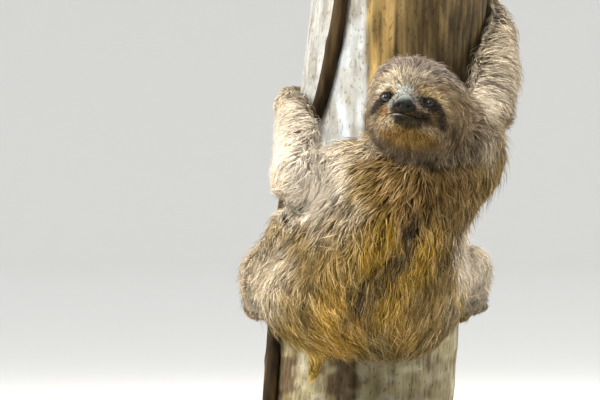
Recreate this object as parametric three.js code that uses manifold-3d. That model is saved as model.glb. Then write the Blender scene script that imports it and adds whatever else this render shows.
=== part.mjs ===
// A brown-throated three-toed sloth (Bradypus variegatus), life size and still,
// hugging a cut length of tree trunk on a plain display stand.
// Millimetres, +Z up. The origin is on the underside of the stand's base, straight below
// the trunk's axis at the height of the sloth's loins.
// The sloth's back faces -Y and its head is turned right round to look the same way, so
// its body's left side is at -X and its face's left side is at +X.
// Every form of the animal reaches out to the tips of its coat.
import * as THREE from "three";
import { mergeVertices } from "three/addons/utils/BufferGeometryUtils.js";
import Module from "manifold-3d";

const wasm = await Module();
wasm.setup();

// ---------------------------------------------------------------- small vector helpers
const V = (x, y, z) => new THREE.Vector3(x, y, z);
const degrees = THREE.MathUtils.degToRad;
const { lerp, clamp } = THREE.MathUtils;
const toward = (a, b) => b.clone().sub(a).normalize();

// ---------------------------------------------------------------- driving dimensions
const GAP = 0.35; // clearance between solids cut from each other
const REST = 1.8; // clearance between soft forms that lie against each other or the bark
const CELL = { body: 16.5, limb: 15, head: 9.2, tail: 10 }; // facet sizes

const BASE = { width: 340, depth: 360, thickness: 18, corner: 26, y: -44 };
const ROD = { radius: 8, sides: 12, apart: 90 };
const TRUNK = {
  bottom: 56,
  top: 562,
  radiusBottom: 96.5,
  radiusTop: 92,
  lean: 0.0963, // sideways run per millimetre of height
  axisX: -17.3, // where the axis crosses the bottom cut
  sides: 24,
  rings: 6,
};
const VINE = { radius: 7.5, sides: 6, steps: 16 };

// The head looks along its own forward axis: turned to its right, lifted and tipped.
const HEAD = { centre: V(34, -190, 368), turn: 12, lift: 17, tip: 7.5 };

// The rows of forms that make the body, each with its middle and its half sizes.
const TORSO = [
  { at: V(34, -156, 286), half: [82, 64, 56], tilt: 18 }, // chest
  { at: V(-2, -161, 228), half: [88, 75, 72] }, // loins
  { at: V(-32, -154, 178), half: [96, 68, 64] }, // rump
  { at: V(26, -148, 174), half: [60, 62, 56] }, // right haunch
  { at: V(-30, -148, 305), half: [40, 38, 36] }, // left shoulder
  { at: V(92, -145, 324), half: [40, 40, 40] }, // right shoulder
];
const TORSO_FILLET = 34;
const NECK = { low: V(60, -150, 320), high: V(52, -160, 354), lowRadius: 52, highRadius: 49 };
const TAIL = { root: V(-64, -142, 128), end: V(-67, -136, 95), rootRadius: 16, endRadius: 8 };

// A limb runs from its root through its middle joint and a swell to the wrist or heel.
// Its paw lies against the bark at an angle round the trunk and a height, and its claws
// hook on round the trunk, to greater angles (turn 1) or to smaller ones (turn -1).
const HAND_CLAW = { length: 46, radius: 4.1, tip: 0.9, apart: 11.5, hump: 8 };
const FOOT_CLAW = { length: 38, radius: 3.7, tip: 0.9, apart: 10.5, hump: 7 };
const LIMBS = [
  {
    names: ["upper_arm_left", "forearm_left", "hand_left"],
    stops: [V(-26, -142, 302), V(-84, -172, 296), V(-81, -122, 346), V(-87, -72, 370)],
    radii: [33, 27, 26, 21],
    paw: { angle: 172, z: 383, turn: -1 },
    claw: HAND_CLAW,
  },
  {
    names: ["upper_arm_right", "forearm_right", "hand_right"],
    stops: [V(93, -144, 322), V(122, -80, 402), V(125, -12, 450), V(117, 57, 488)],
    radii: [39, 27, 25, 20],
    paw: { angle: 68, z: 510, turn: 1 },
    claw: HAND_CLAW,
  },
  {
    names: ["thigh_left", "shin_left", "foot_left"],
    stops: [V(-76, -150, 223), V(-112, -138, 198), V(-119, -76, 182), V(-125, -16, 164)],
    radii: [52, 32, 24, 17],
    paw: { angle: 157, z: 154, turn: -1 },
    claw: FOOT_CLAW,
  },
  {
    names: ["thigh_right", "shin_right", "foot_right"],
    stops: [V(42, -134, 182), V(92, -90, 207), V(97, -46, 190), V(103, 2, 170)],
    radii: [46, 26, 23, 18],
    paw: { angle: 24, z: 158, turn: 1 },
    claw: FOOT_CLAW,
  },
];
const PAW_HALF = [13.5, 20, 19]; // out from the bark, round the trunk, along the trunk

// The face, in millimetres to the face's left, up and forward of the head's middle.
const EYE = { out: 21.4, up: -6.5, forward: 38.6, radius: 5.6 };
const NOSE = { up: -16.8, forward: 56.2, half: [11, 8.2, 6.2] };
const NOSTRIL = { out: 5, up: -19, forward: 62.2, half: [2, 1.5, 3] };
const MOUTH = { out: 21, up: -27.6, smile: 2.4, radius: 1.3, steps: 6, sides: 3 };
const EAR = { up: -22, forward: 12, proud: 1.6, half: [2.6, 8.5, 6.5] };

// ---------------------------------------------------------------- axes of the head
const headLeft = V(1, 0, 0);
const headUp = V(0, 0, 1);
const headForward = V(0, -1, 0);
const headAxes = [headLeft, headUp, headForward];
for (const axis of headAxes) {
  axis.applyAxisAngle(V(0, 1, 0), degrees(HEAD.tip));
  axis.applyAxisAngle(V(1, 0, 0), degrees(-HEAD.lift));
  axis.applyAxisAngle(V(0, 0, 1), degrees(-HEAD.turn));
}

// A point of the head, given to its left, up and forward of the head's middle.
const onHead = (left, up, forward) =>
  HEAD.centre
    .clone()
    .addScaledVector(headLeft, left)
    .addScaledVector(headUp, up)
    .addScaledVector(headForward, forward);

// ---------------------------------------------------------------- bark surface
const trunkAxisX = (z) => TRUNK.axisX + TRUNK.lean * (z - TRUNK.bottom);

// The trunk swells and hollows a little round its girth and along its length.
function trunkRadius(angle, z) {
  const rise = (z - TRUNK.bottom) / (TRUNK.top - TRUNK.bottom);
  const straight = lerp(TRUNK.radiusBottom, TRUNK.radiusTop, rise);
  const girth = 1.5 * Math.sin(3 * angle + 0.7) + 0.8 * Math.sin(5 * angle - 1.1);
  return straight + girth + 1.1 * Math.sin(z / 47 + 2 * angle);
}

// A point at an angle round the trunk (0 is +X, 90 is +Y), so far out from its bark.
function onTrunk(angleDegrees, z, out) {
  const angle = degrees(angleDegrees);
  const reach = trunkRadius(angle, z) + out;
  return V(trunkAxisX(z) + reach * Math.cos(angle), reach * Math.sin(angle), z);
}

// ---------------------------------------------------------------- distance fields
// Each form is a function of a point, negative inside the form.

// A round length from a to b, of radius ra at a and rb at b.
function cone(a, b, ra, rb) {
  const axis = b.clone().sub(a);
  const step = V();
  return (p) => {
    step.copy(p).sub(a);
    const t = clamp(step.dot(axis) / axis.lengthSq(), 0, 1);
    return step.addScaledVector(axis, -t).length() - lerp(ra, rb, t);
  };
}

// An ellipsoid whose half sizes lie along three given axes.
function ellipsoid(centre, half, axes) {
  const step = V();
  return (p) => {
    step.copy(p).sub(centre);
    let near = 0;
    let steep = 0;
    axes.forEach((axis, i) => {
      const along = step.dot(axis) / half[i];
      near += along * along;
      steep += (along * along) / (half[i] * half[i]);
    });
    const reach = Math.sqrt(near);
    return (reach * (reach - 1)) / Math.max(Math.sqrt(steep), 1e-9);
  };
}

// Two forms joined with a fillet, and the second taken out of the first with one.
function blend(a, b, fillet) {
  const h = Math.max(fillet - Math.abs(a - b), 0) / fillet;
  return Math.min(a, b) - (h * h * fillet) / 4;
}
const carve = (a, b, fillet) => -blend(-a, b, fillet);
const blendAll = (forms, fillet) => (p) =>
  forms.map((form) => form(p)).reduce((a, b) => blend(a, b, fillet));

// ---------------------------------------------------------------- the sloth's forms
// The head: cranium, crown, cheeks and throat, then muzzle, chin and the eye sockets.
const headForm = (left, up, forward, ...half) =>
  ellipsoid(onHead(left, up, forward), half, headAxes);
const skullField = blendAll(
  [
    headForm(1, 4, -5, 51, 44, 46),
    headForm(-6, 19, 3, 41, 30, 39),
    headForm(-11, -18, 6, 36, 33, 41),
    headForm(21, -18, 6, 38, 34, 41),
    headForm(7, -31, 8, 36, 25, 37),
  ],
  12,
);
const muzzleForm = cone(onHead(0, -17, 33), onHead(0, -19.5, 48), 21, 13);
const chinForm = cone(onHead(1, -31, 30), onHead(0, -31, 43), 17, 10);
const socketForms = [-1, 1].map((side) => headForm(side * 24, -7, 50, 10, 7, 8));

function headField(p) {
  let d = blend(skullField(p), muzzleForm(p), 10);
  d = blend(d, chinForm(p), 8);
  for (const form of socketForms) d = carve(d, form(p), 8);
  return d;
}

// The trunk of the body with the neck and head.
const torsoField = blendAll(
  TORSO.map((form) => {
    const axes = [V(1, 0, 0), V(0, 1, 0), V(0, 0, 1)];
    for (const axis of axes) axis.applyAxisAngle(V(0, -1, 0), degrees(form.tilt ?? 0));
    return ellipsoid(form.at, form.half, axes);
  }),
  TORSO_FILLET,
);
const neckForm = cone(NECK.low, NECK.high, NECK.lowRadius, NECK.highRadius);
const tailForm = cone(TAIL.root, TAIL.end, TAIL.rootRadius, TAIL.endRadius);
const wholeBody = (p) => blend(blend(torsoField(p), neckForm(p), 22), headField(p), 7);

// A form pressed against others that are already in place, and flattened by them.
const barkField = (p) => {
  const out = V(p.x - trunkAxisX(p.z), p.y, 0);
  return out.length() - trunkRadius(Math.atan2(out.y, out.x), p.z);
};
const pressed = (form, others) => (p) =>
  others.reduce((d, other) => carve(d, other(p) - REST, 2), form(p));

const bodyField = pressed(wholeBody, [barkField]);

// A limb with the pad of its paw, which lies flat along the bark.
function limbField({ stops, radii, paw }) {
  const lengths = [0, 1, 2].map((n) => cone(stops[n], stops[n + 1], radii[n], radii[n + 1]));
  const out = V(Math.cos(degrees(paw.angle)), Math.sin(degrees(paw.angle)), 0);
  const round = V(-out.y, out.x, 0);
  const palm = onTrunk(paw.angle, paw.z, PAW_HALF[0] - 2);
  const pad = ellipsoid(palm, PAW_HALF, [out, round, V(0, 0, 1)]);
  const wrist = cone(stops[3], palm, radii[3], 12.5);
  return blendAll([...lengths, wrist, pad], 8);
}
const limbFields = LIMBS.map(limbField);

// ---------------------------------------------------------------- from field to solid
// A cell's corners are numbered by bits (1 is +X, 2 is +Y, 4 is +Z), and its edges run from
// corner to corner.
const CELL_EDGES = [0, 1, 2, 3, 4, 5, 6, 7].flatMap((corner) =>
  [1, 2, 4].filter((bit) => !(corner & bit)).map((bit) => [corner, corner | bit]),
);
const CELL_FACES = [[1, 2, 4], [2, 4, 1], [4, 1, 2]].flatMap(([bit, p, q]) =>
  [0, bit].map((base) => [base, base | p, base | p | q, base | q]),
);
const edgeOf = (a, b) => Math.min(a, b) * 8 + Math.max(a, b);

// The sheets of surface that pass a cell, each as the list of the edges it crosses.
function sheetsOf(isInside) {
  const sheets = CELL_EDGES.filter(([a, b]) => isInside(a) !== isInside(b)).map((edge) => [edge]);
  const join = (first, second) => {
    const [a, b] = [first, second].map((wanted) =>
      sheets.find((sheet) => sheet.some(([c, d]) => edgeOf(c, d) === wanted)),
    );
    if (a !== b) a.push(...sheets.splice(sheets.indexOf(b), 1)[0]);
  };
  for (const face of sheets.length ? CELL_FACES : []) {
    const sides = face.map((corner, n) => [corner, face[(n + 1) % 4]]);
    const crossed = sides.filter(([a, b]) => isInside(a) !== isInside(b));
    const edges = crossed.map(([a, b]) => edgeOf(a, b));
    if (crossed.length === 2) join(edges[0], edges[1]);
    if (crossed.length === 4) {
      const first = isInside(face[0]) ? 3 : 0;
      join(edges[first], edges[(first + 1) % 4]);
      join(edges[(first + 2) % 4], edges[(first + 3) % 4]);
    }
  }
  return sheets;
}

// Surface nets: one vertex for each sheet of surface in a cell, moved onto the surface, and
// a ring of four vertices round each grid edge that it crosses.
function netOf(field, low, high, cell) {
  const [nx, ny, nz] = high.clone().sub(low).divideScalar(cell).ceil().addScalar(1).toArray();
  const index = (i, j, k) => i + nx * (j + ny * k);
  const corner = (i, j, k) => V(low.x + i * cell, low.y + j * cell, low.z + k * cell);
  const eachCell = (from, visit) => {
    for (let k = from; k < nz - 1; k++)
      for (let j = from; j < ny - 1; j++) for (let i = from; i < nx - 1; i++) visit(i, j, k);
  };
  const values = new Float32Array(nx * ny * nz);
  for (let k = 0; k < nz; k++)
    for (let j = 0; j < ny; j++)
      for (let i = 0; i < nx; i++) values[index(i, j, k)] = field(corner(i, j, k));

  const slope = (p) => {
    const h = 0.2;
    const along = (x, y, z) =>
      (field(V(p.x + x, p.y + y, p.z + z)) - field(V(p.x - x, p.y - y, p.z - z))) / (2 * h);
    return V(along(h, 0, 0), along(0, h, 0), along(0, 0, h));
  };

  const vertexOf = new Map();
  const places = [];
  const addVertex = (i, j, k, sheet) => {
    const cornerOf = (c) => [i + (c & 1), j + ((c >> 1) & 1), k + ((c >> 2) & 1)];
    const point = V(0, 0, 0);
    for (const [a, b] of sheet) {
      const [va, vb] = [a, b].map((c) => values[index(...cornerOf(c))]);
      point.add(corner(...cornerOf(a)).lerp(corner(...cornerOf(b)), va / (va - vb)));
      vertexOf.set(index(i, j, k) * 64 + edgeOf(a, b), places.length);
    }
    point.divideScalar(sheet.length);
    for (let pass = 0; pass < 3; pass++) {
      const rise = slope(point);
      point.addScaledVector(rise, -field(point) / Math.max(rise.lengthSq(), 0.05));
    }
    const middle = corner(i + 0.5, j + 0.5, k + 0.5);
    const half = V(0.49, 0.49, 0.49).multiplyScalar(cell);
    places.push(point.clamp(middle.clone().sub(half), middle.clone().add(half)));
  };
  eachCell(0, (i, j, k) => {
    const isInside = (c) => values[index(i + (c & 1), j + ((c >> 1) & 1), k + ((c >> 2) & 1))] < 0;
    for (const sheet of sheetsOf(isInside)) addVertex(i, j, k, sheet);
  });

  const rings = [];
  eachCell(1, (i, j, k) => {
    const inside = values[index(i, j, k)] < 0;
    const addRing = (bit, ...corners) => {
      const ring = corners.map((c) => {
        const cell = index(i - (c & 1), j - ((c >> 1) & 1), k - ((c >> 2) & 1));
        return vertexOf.get(cell * 64 + edgeOf(c, c | bit));
      });
      rings.push(inside ? ring : ring.reverse());
    };
    if (inside !== values[index(i + 1, j, k)] < 0) addRing(1, 6, 4, 0, 2);
    if (inside !== values[index(i, j + 1, k)] < 0) addRing(2, 5, 1, 0, 4);
    if (inside !== values[index(i, j, k + 1)] < 0) addRing(4, 3, 2, 0, 1);
  });
  return { places, rings };
}

// The rings split into triangles, or nothing where two sheets would share an edge.
function trianglesOf({ places, rings }) {
  const keyOf = (a, b) => `${Math.min(a, b)} ${Math.max(a, b)}`;
  const uses = new Map();
  for (const ring of rings)
    ring.forEach((a, n) => {
      const key = keyOf(a, ring[(n + 1) % 4]);
      uses.set(key, (uses.get(key) ?? 0) + 1);
    });
  if ([...uses.values()].some((count) => count !== 2)) return null;
  const triangles = [];
  for (const ring of rings) {
    const span = (n) => places[ring[n]].distanceTo(places[ring[n + 2]]);
    const order = span(0) < span(1) ? [0, 1] : [1, 0];
    const start = order.find((n) => !uses.has(keyOf(ring[n], ring[n + 2])));
    if (start === undefined) return null;
    const [a, b, c, d] = [0, 1, 2, 3].map((n) => ring[(start + n) % 4]);
    uses.set(keyOf(a, c), 2);
    triangles.push(a, b, c, a, c, d);
  }
  return triangles;
}

// Where the surface passes one cell twice, two of its sheets can share an edge. Then the
// grid is moved on by a part of a cell until no edge is shared.
function netSolid(field, low, high, cell) {
  for (let turn = 0; turn < 40; turn++) {
    const shift = V((turn * 0.37) % 1, (turn * 0.61) % 1, (turn * 0.83) % 1).addScalar(2);
    const start = low.clone().addScaledVector(shift, -cell);
    const net = netOf(field, start, high.clone().addScalar(2 * cell), cell);
    const triangles = trianglesOf(net);
    if (triangles) return meshSolid(net.places.flatMap((p) => p.toArray()), triangles);
  }
  throw new Error("no place of the grid gives one closed body");
}

// ---------------------------------------------------------------- solids and geometries
function meshSolid(positions, triangles) {
  const mesh = new wasm.Mesh({
    numProp: 3,
    vertProperties: new Float32Array(positions),
    triVerts: new Uint32Array(triangles),
  });
  return new wasm.Manifold(mesh);
}

function solidOf(geometry) {
  const bare = geometry.index ? geometry.toNonIndexed() : geometry.clone();
  bare.deleteAttribute("normal");
  bare.deleteAttribute("uv");
  const merged = mergeVertices(bare, 1e-3);
  return meshSolid(merged.attributes.position.array, merged.index.array);
}

function geometryOf(solid) {
  const mesh = solid.getMesh();
  const geometry = new THREE.BufferGeometry();
  geometry.setAttribute("position", new THREE.BufferAttribute(mesh.vertProperties, mesh.numProp));
  geometry.setIndex(new THREE.BufferAttribute(mesh.triVerts, 1));
  return geometry;
}

// The largest body of a solid that a cut may have left in several.
const largestOf = (solid) =>
  solid.decompose().reduce((a, b) => (a.volume() > b.volume() ? a : b));

// Rings of points joined into one closed surface, with a flat fan at either end.
function ringGeometry(rings) {
  const sides = rings[0].length;
  const last = rings.length - 1;
  const middleOf = (ring) => ring.reduce((sum, p) => sum.add(p), V(0, 0, 0)).divideScalar(sides);
  const points = [...rings.flat(), middleOf(rings[0]), middleOf(rings[last])];
  const at = (n, s) => n * sides + (s % sides);
  const lowFan = points.length - 2;
  const highFan = points.length - 1;
  const triangles = [];
  for (let s = 0; s < sides; s++) {
    triangles.push(lowFan, at(0, s + 1), at(0, s), highFan, at(last, s), at(last, s + 1));
    for (let n = 0; n < last; n++) {
      triangles.push(at(n, s), at(n, s + 1), at(n + 1, s + 1));
      triangles.push(at(n, s), at(n + 1, s + 1), at(n + 1, s));
    }
  }
  const geometry = new THREE.BufferGeometry();
  const places = points.flatMap((p) => p.toArray());
  geometry.setAttribute("position", new THREE.Float32BufferAttribute(places, 3));
  return geometry.setIndex(triangles);
}

// A round tube through points, with its own radius at each of them.
function tubeGeometry(points, radii, sides) {
  const last = points.length - 1;
  const side = V(0.1, 0, 1);
  const rings = points.map((point, n) => {
    const ahead = toward(points[Math.max(n - 1, 0)], points[Math.min(n + 1, last)]);
    side.addScaledVector(ahead, -side.dot(ahead)).normalize();
    const other = ahead.clone().cross(side);
    return Array.from({ length: sides }, (_, s) => {
      const angle = (2 * Math.PI * s) / sides;
      const rim = point.clone().addScaledVector(side, radii[n] * Math.cos(angle));
      return rim.addScaledVector(other, radii[n] * Math.sin(angle));
    });
  });
  return ringGeometry(rings);
}

// A faceted ellipsoid of the head, lying along the head's axes.
function headEllipsoid({ out = 0, up, forward, half }, side = 1, grow = 0, facets = [9, 6]) {
  const turn = new THREE.Matrix4().makeBasis(headLeft, headUp, headForward);
  const place = onHead(side * out, up, forward);
  const size = half.map((h) => h + grow);
  return new THREE.SphereGeometry(1, ...facets)
    .scale(...size)
    .applyMatrix4(turn)
    .translate(...place.toArray());
}

// The part of a solid on the side of a plane that it faces, or on the other side.
function sideOf(solid, { at, facing }, ahead) {
  const size = 900;
  const shift = (ahead ? -1 : 1) * (size / 2 - GAP / 2);
  const turn = new THREE.Quaternion().setFromUnitVectors(V(0, 0, 1), facing);
  const block = new THREE.BoxGeometry(size, size, size).translate(0, 0, shift);
  return solid.subtract(solidOf(block.applyQuaternion(turn).translate(...at.toArray())));
}

// ---------------------------------------------------------------- scene graph
const FINISHES = {
  coat: { color: 0x8f7d66, roughness: 0.95, metalness: 0 },
  face: { color: 0xb09a76, roughness: 0.95, metalness: 0 },
  skin: { color: 0x2a2522, roughness: 0.6, metalness: 0 },
  eye: { color: 0x14100e, roughness: 0.1, metalness: 0 },
  claw: { color: 0xb9ab8c, roughness: 0.5, metalness: 0 },
  bark: { color: 0xa39a88, roughness: 0.95, metalness: 0 },
  vine: { color: 0x5c4632, roughness: 0.9, metalness: 0 },
  base: { color: 0x26282a, roughness: 0.5, metalness: 0 },
  rod: { color: 0xa9abad, roughness: 0.3, metalness: 0.9 },
};
const group = new THREE.Group();

function addMesh(name, shape, finish) {
  const geometry = shape.isBufferGeometry ? shape : geometryOf(shape);
  const mesh = new THREE.Mesh(geometry, new THREE.MeshStandardMaterial(FINISHES[finish]));
  mesh.name = name;
  group.add(mesh);
}

// ---------------------------------------------------------------- stand
function addStand() {
  const { width, depth, thickness, corner, y } = BASE;
  const right = width / 2 - corner;
  const back = depth / 2 - corner;
  const outline = new THREE.Shape();
  outline.absarc(right, back, corner, 0, Math.PI / 2);
  outline.absarc(-right, back, corner, Math.PI / 2, Math.PI);
  outline.absarc(-right, -back, corner, Math.PI, 1.5 * Math.PI);
  outline.absarc(right, -back, corner, 1.5 * Math.PI, 2 * Math.PI);
  const plate = new THREE.ExtrudeGeometry(outline, {
    depth: thickness,
    bevelEnabled: false,
    curveSegments: 4,
  });
  addMesh("stand_base", solidOf(plate.translate(0, y, 0)), "base");
  const length = TRUNK.bottom - thickness - 2 * GAP;
  for (const [name, side] of [["left", -1], ["right", 1]]) {
    const rod = new THREE.CylinderGeometry(ROD.radius, ROD.radius, length, ROD.sides);
    rod.rotateX(Math.PI / 2);
    rod.translate(TRUNK.axisX + (side * ROD.apart) / 2, 0, thickness + GAP + length / 2);
    addMesh(`stand_rod_${name}`, solidOf(rod), "rod");
  }
}

// ---------------------------------------------------------------- perch
function trunkGeometry(grow) {
  const { sides, rings, bottom, top } = TRUNK;
  return ringGeometry(
    Array.from({ length: rings + 1 }, (_, n) =>
      Array.from({ length: sides }, (_, s) =>
        onTrunk((360 * s) / sides, lerp(bottom, top, n / rings), grow),
      ),
    ),
  );
}

// The vine climbs from the trunk's left side to its front, close along the bark.
const vineStops = [
  { angle: 203, z: TRUNK.bottom + 3 },
  { angle: 199, z: 110 },
  { angle: 191, z: 165 },
  { angle: 186, z: 215 },
  { angle: 188, z: 262 },
  { angle: 204, z: 318 },
  { angle: 223, z: 372 },
  { angle: 230, z: 440 },
  { angle: 233, z: 500 },
  { angle: 236, z: TRUNK.top - 3 },
];
function vineGeometry(grow) {
  const stops = vineStops.map((stop) => onTrunk(stop.angle, stop.z, VINE.radius));
  const points = new THREE.CatmullRomCurve3(stops).getSpacedPoints(VINE.steps);
  const radii = points.map((_, n) => VINE.radius + 0.6 * Math.sin(1.9 * n) + grow);
  return tubeGeometry(points, radii, VINE.sides);
}

const vineRoom = solidOf(vineGeometry(GAP));
function addPerch() {
  addMesh("perch_trunk", solidOf(trunkGeometry(0)).subtract(vineRoom), "bark");
  addMesh("perch_vine", vineGeometry(0), "vine");
}

// ---------------------------------------------------------------- body, neck and tail
const HEAD_CUT = { at: V(50, -175, 357), facing: V(0.105, -0.722, 0.688).normalize() };
const NECK_CUT = { at: V(20, -190, 334), facing: V(0.131, -0.508, 0.851).normalize() };

const aboveNeckCut = (p) => p.clone().sub(NECK_CUT.at).dot(NECK_CUT.facing) + CELL.head;
const headAndNeck = (p) => Math.max(bodyField(p), -aboveNeckCut(p));
const upper = netSolid(headAndNeck, V(-40, -270, 280), V(135, -90, 428), CELL.head);

function addBody() {
  const body = netSolid(bodyField, V(-130, -268, 80), V(135, -80, 424), CELL.body);
  addMesh("torso", largestOf(sideOf(sideOf(body, NECK_CUT, false), HEAD_CUT, false)), "coat");
  const freeTail = pressed(tailForm, [wholeBody]);
  const tail = netSolid(freeTail, V(-90, -165, 80), V(-40, -115, 150), CELL.tail);
  addMesh("tail", largestOf(tail), "coat");
  const above = sideOf(upper, NECK_CUT, true);
  addMesh("neck", largestOf(sideOf(above, HEAD_CUT, false)), "coat");
}

// ---------------------------------------------------------------- head
// How far along one of the head's directions its coat ends, from a place inside it.
function reachOfHead(placeAt) {
  let near = 10;
  let far = 80;
  for (let pass = 0; pass < 24; pass++) {
    const middle = (near + far) / 2;
    if (headField(placeAt(middle)) < 0) near = middle;
    else far = middle;
  }
  return near;
}

// The line of the closed mouth, which lifts at its corners.
function mouthGroove() {
  const points = Array.from({ length: MOUTH.steps + 1 }, (_, n) => {
    const across = (2 * n) / MOUTH.steps - 1;
    const placeAt = (forward) =>
      onHead(MOUTH.out * across, MOUTH.up + MOUTH.smile * across * across, forward);
    return placeAt(reachOfHead(placeAt));
  });
  return tubeGeometry(points, points.map(() => MOUTH.radius), MOUTH.sides);
}

function addHead() {
  let head = sideOf(upper, HEAD_CUT, true);
  const noseRoom = solidOf(headEllipsoid(NOSE, 1, GAP));
  head = head.subtract(noseRoom).subtract(solidOf(mouthGroove()));
  const eye = { ...EYE, half: [EYE.radius, EYE.radius, EYE.radius] };
  for (const [name, side] of [["left", 1], ["right", -1]]) {
    const reach = reachOfHead((out) => onHead(side * out, EAR.up, EAR.forward));
    const ear = { ...EAR, out: reach + EAR.proud - EAR.half[0] };
    addMesh(`eye_${name}`, solidOf(headEllipsoid(eye, side)), "eye");
    addMesh(`ear_${name}`, solidOf(headEllipsoid(ear, side, 0, [7, 4])), "skin");
    head = head.subtract(solidOf(headEllipsoid(eye, side, GAP)));
    head = head.subtract(solidOf(headEllipsoid(ear, side, GAP, [7, 4])));
  }
  let nose = solidOf(headEllipsoid(NOSE));
  for (const side of [-1, 1])
    nose = nose.subtract(solidOf(headEllipsoid(NOSTRIL, side, 0, [5, 4])));
  addMesh("nose", nose, "skin");
  addMesh("head", largestOf(head), "face");
}

// ---------------------------------------------------------------- limbs and claws
// A claw starts inside the paw, stands off the bark in a low hook and meets it at its tip.
function clawGeometry({ paw, claw }, finger, grow) {
  const steps = 5;
  const start = paw.angle + paw.turn * 7;
  const sweep = (paw.turn * THREE.MathUtils.radToDeg(claw.length)) / (TRUNK.radiusTop + 8);
  const radii = [];
  const points = Array.from({ length: steps + 1 }, (_, n) => {
    const t = n / steps;
    const radius = lerp(claw.radius, claw.tip, t ** 1.3);
    radii.push(radius + grow);
    const height = paw.z + finger * claw.apart * lerp(0.8, 1.08, t);
    const off = radius + 1.2 + claw.hump * Math.sin(Math.PI * lerp(0.28, 1, t));
    return onTrunk(start + sweep * t, height, off);
  });
  return tubeGeometry(points, radii, 5);
}

// A thin square plate across a limb at a joint, in the mean direction of its two lengths.
function jointPlate(before, at, after) {
  const facing = toward(before, at).add(toward(at, after)).normalize();
  const plate = new THREE.BoxGeometry(110, 110, GAP);
  const turn = new THREE.Quaternion().setFromUnitVectors(V(0, 0, 1), facing);
  return solidOf(plate.applyQuaternion(turn).translate(...at.toArray()));
}

function addLimb(limb, index) {
  const { names, stops, paw } = limb;
  const box = new THREE.Box3().setFromPoints(stops);
  box.expandByPoint(onTrunk(paw.angle, paw.z, 0)).expandByScalar(56);
  const others = [wholeBody, barkField, ...limbFields.slice(0, index)];
  let flesh = netSolid(pressed(limbFields[index], others), box.min, box.max, CELL.limb);
  flesh = flesh.subtract(vineRoom);
  const palm = onTrunk(paw.angle, paw.z, 12);
  for (const finger of [-1, 0, 1]) {
    const name = `claw_${names[2]}_${finger + 2}`;
    addMesh(name, clawGeometry(limb, finger, 0), "claw");
    flesh = flesh.subtract(solidOf(clawGeometry(limb, finger, GAP)));
  }
  flesh = largestOf(flesh);
  flesh = flesh.subtract(jointPlate(stops[0], stops[1], stops[2]));
  flesh = flesh.subtract(jointPlate(stops[2], stops[3], palm));
  const lengths = flesh.decompose().filter((piece) => piece.volume() > 100);
  const spots = [stops[0].clone().lerp(stops[1], 0.75), stops[2], palm];
  const distance = (piece, spot) => {
    const { min, max } = piece.boundingBox();
    return V((min[0] + max[0]) / 2, (min[1] + max[1]) / 2, (min[2] + max[2]) / 2).distanceTo(spot);
  };
  spots.forEach((spot, n) => {
    const nearest = lengths.reduce((a, b) => (distance(a, spot) < distance(b, spot) ? a : b));
    addMesh(names[n], nearest, "coat");
  });
}

addStand();
addPerch();
addBody();
addHead();
LIMBS.forEach(addLimb);

export default group;
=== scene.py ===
"""The looks of a three-toed sloth that hugs a cut trunk on a display stand.

Lengths are in millimetres and are turned to metres where a mesh is made. +Z is up, the
sloth's back and face look towards -Y, and +X is on the right as the camera sees it. The
face's own left is at +X.
"""

import math

import bmesh
import bpy
import numpy as np
from mathutils import Matrix, Vector
from mathutils.bvhtree import BVHTree
from mathutils.kdtree import KDTree


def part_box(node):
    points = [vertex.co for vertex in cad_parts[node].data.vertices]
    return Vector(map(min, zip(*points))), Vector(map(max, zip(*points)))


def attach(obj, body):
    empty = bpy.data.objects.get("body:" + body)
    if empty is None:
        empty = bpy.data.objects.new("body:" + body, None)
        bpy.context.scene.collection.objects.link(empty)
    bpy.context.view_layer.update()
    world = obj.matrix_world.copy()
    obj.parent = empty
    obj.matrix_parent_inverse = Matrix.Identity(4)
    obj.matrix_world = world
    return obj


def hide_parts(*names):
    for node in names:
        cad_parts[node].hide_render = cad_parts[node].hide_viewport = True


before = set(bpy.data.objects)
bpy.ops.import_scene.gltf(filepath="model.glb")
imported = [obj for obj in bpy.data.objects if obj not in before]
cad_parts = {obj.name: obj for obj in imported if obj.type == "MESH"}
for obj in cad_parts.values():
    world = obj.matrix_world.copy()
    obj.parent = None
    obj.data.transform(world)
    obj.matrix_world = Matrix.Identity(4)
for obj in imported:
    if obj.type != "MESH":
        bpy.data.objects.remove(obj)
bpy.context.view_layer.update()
rng = np.random.default_rng(31)

MM = 0.001
COLOUR_LAYER = "coat"  # the colours written on a mesh, which its finish reads

# ---------------------------------------------------------------- shapes of the solids
HEAD_CENTRE = np.array([34.0, -190.0, 368.0])
HEAD_TURN, HEAD_LIFT, HEAD_TIP = 10, 17, 8.5  # degrees
TRUNK_BOTTOM, TRUNK_TOP = 56.0, 562.0
TRUNK_RADII = (96.5, 92.0)  # at the bottom and at the top
TRUNK_LEAN, TRUNK_AXIS_X = 0.0963, -17.3  # millimetres aside for each one up, and the foot's X
VINE_RADIUS = 7.5
# Where the vine runs: degrees round the trunk, and height.
VINE_STOPS = [
    (203, 59), (199, 110), (191, 165), (186, 215), (188, 262),
    (204, 318), (223, 372), (230, 440), (233, 500), (236, 559),
]
HAND_CLAW = {"length": 46.0, "radius": 4.1, "apart": 11.5, "hump": 8.0}
FOOT_CLAW = {"length": 38.0, "radius": 3.7, "apart": 10.5, "hump": 7.0}
# For each paw: degrees round the trunk, height, the way its claws run round, and their sizes.
PAWS = {
    "hand_left": (172, 383, -1, HAND_CLAW),
    "hand_right": (68, 510, 1, HAND_CLAW),
    "foot_left": (157, 154, -1, FOOT_CLAW),
    "foot_right": (24, 158, 1, FOOT_CLAW),
}

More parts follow.
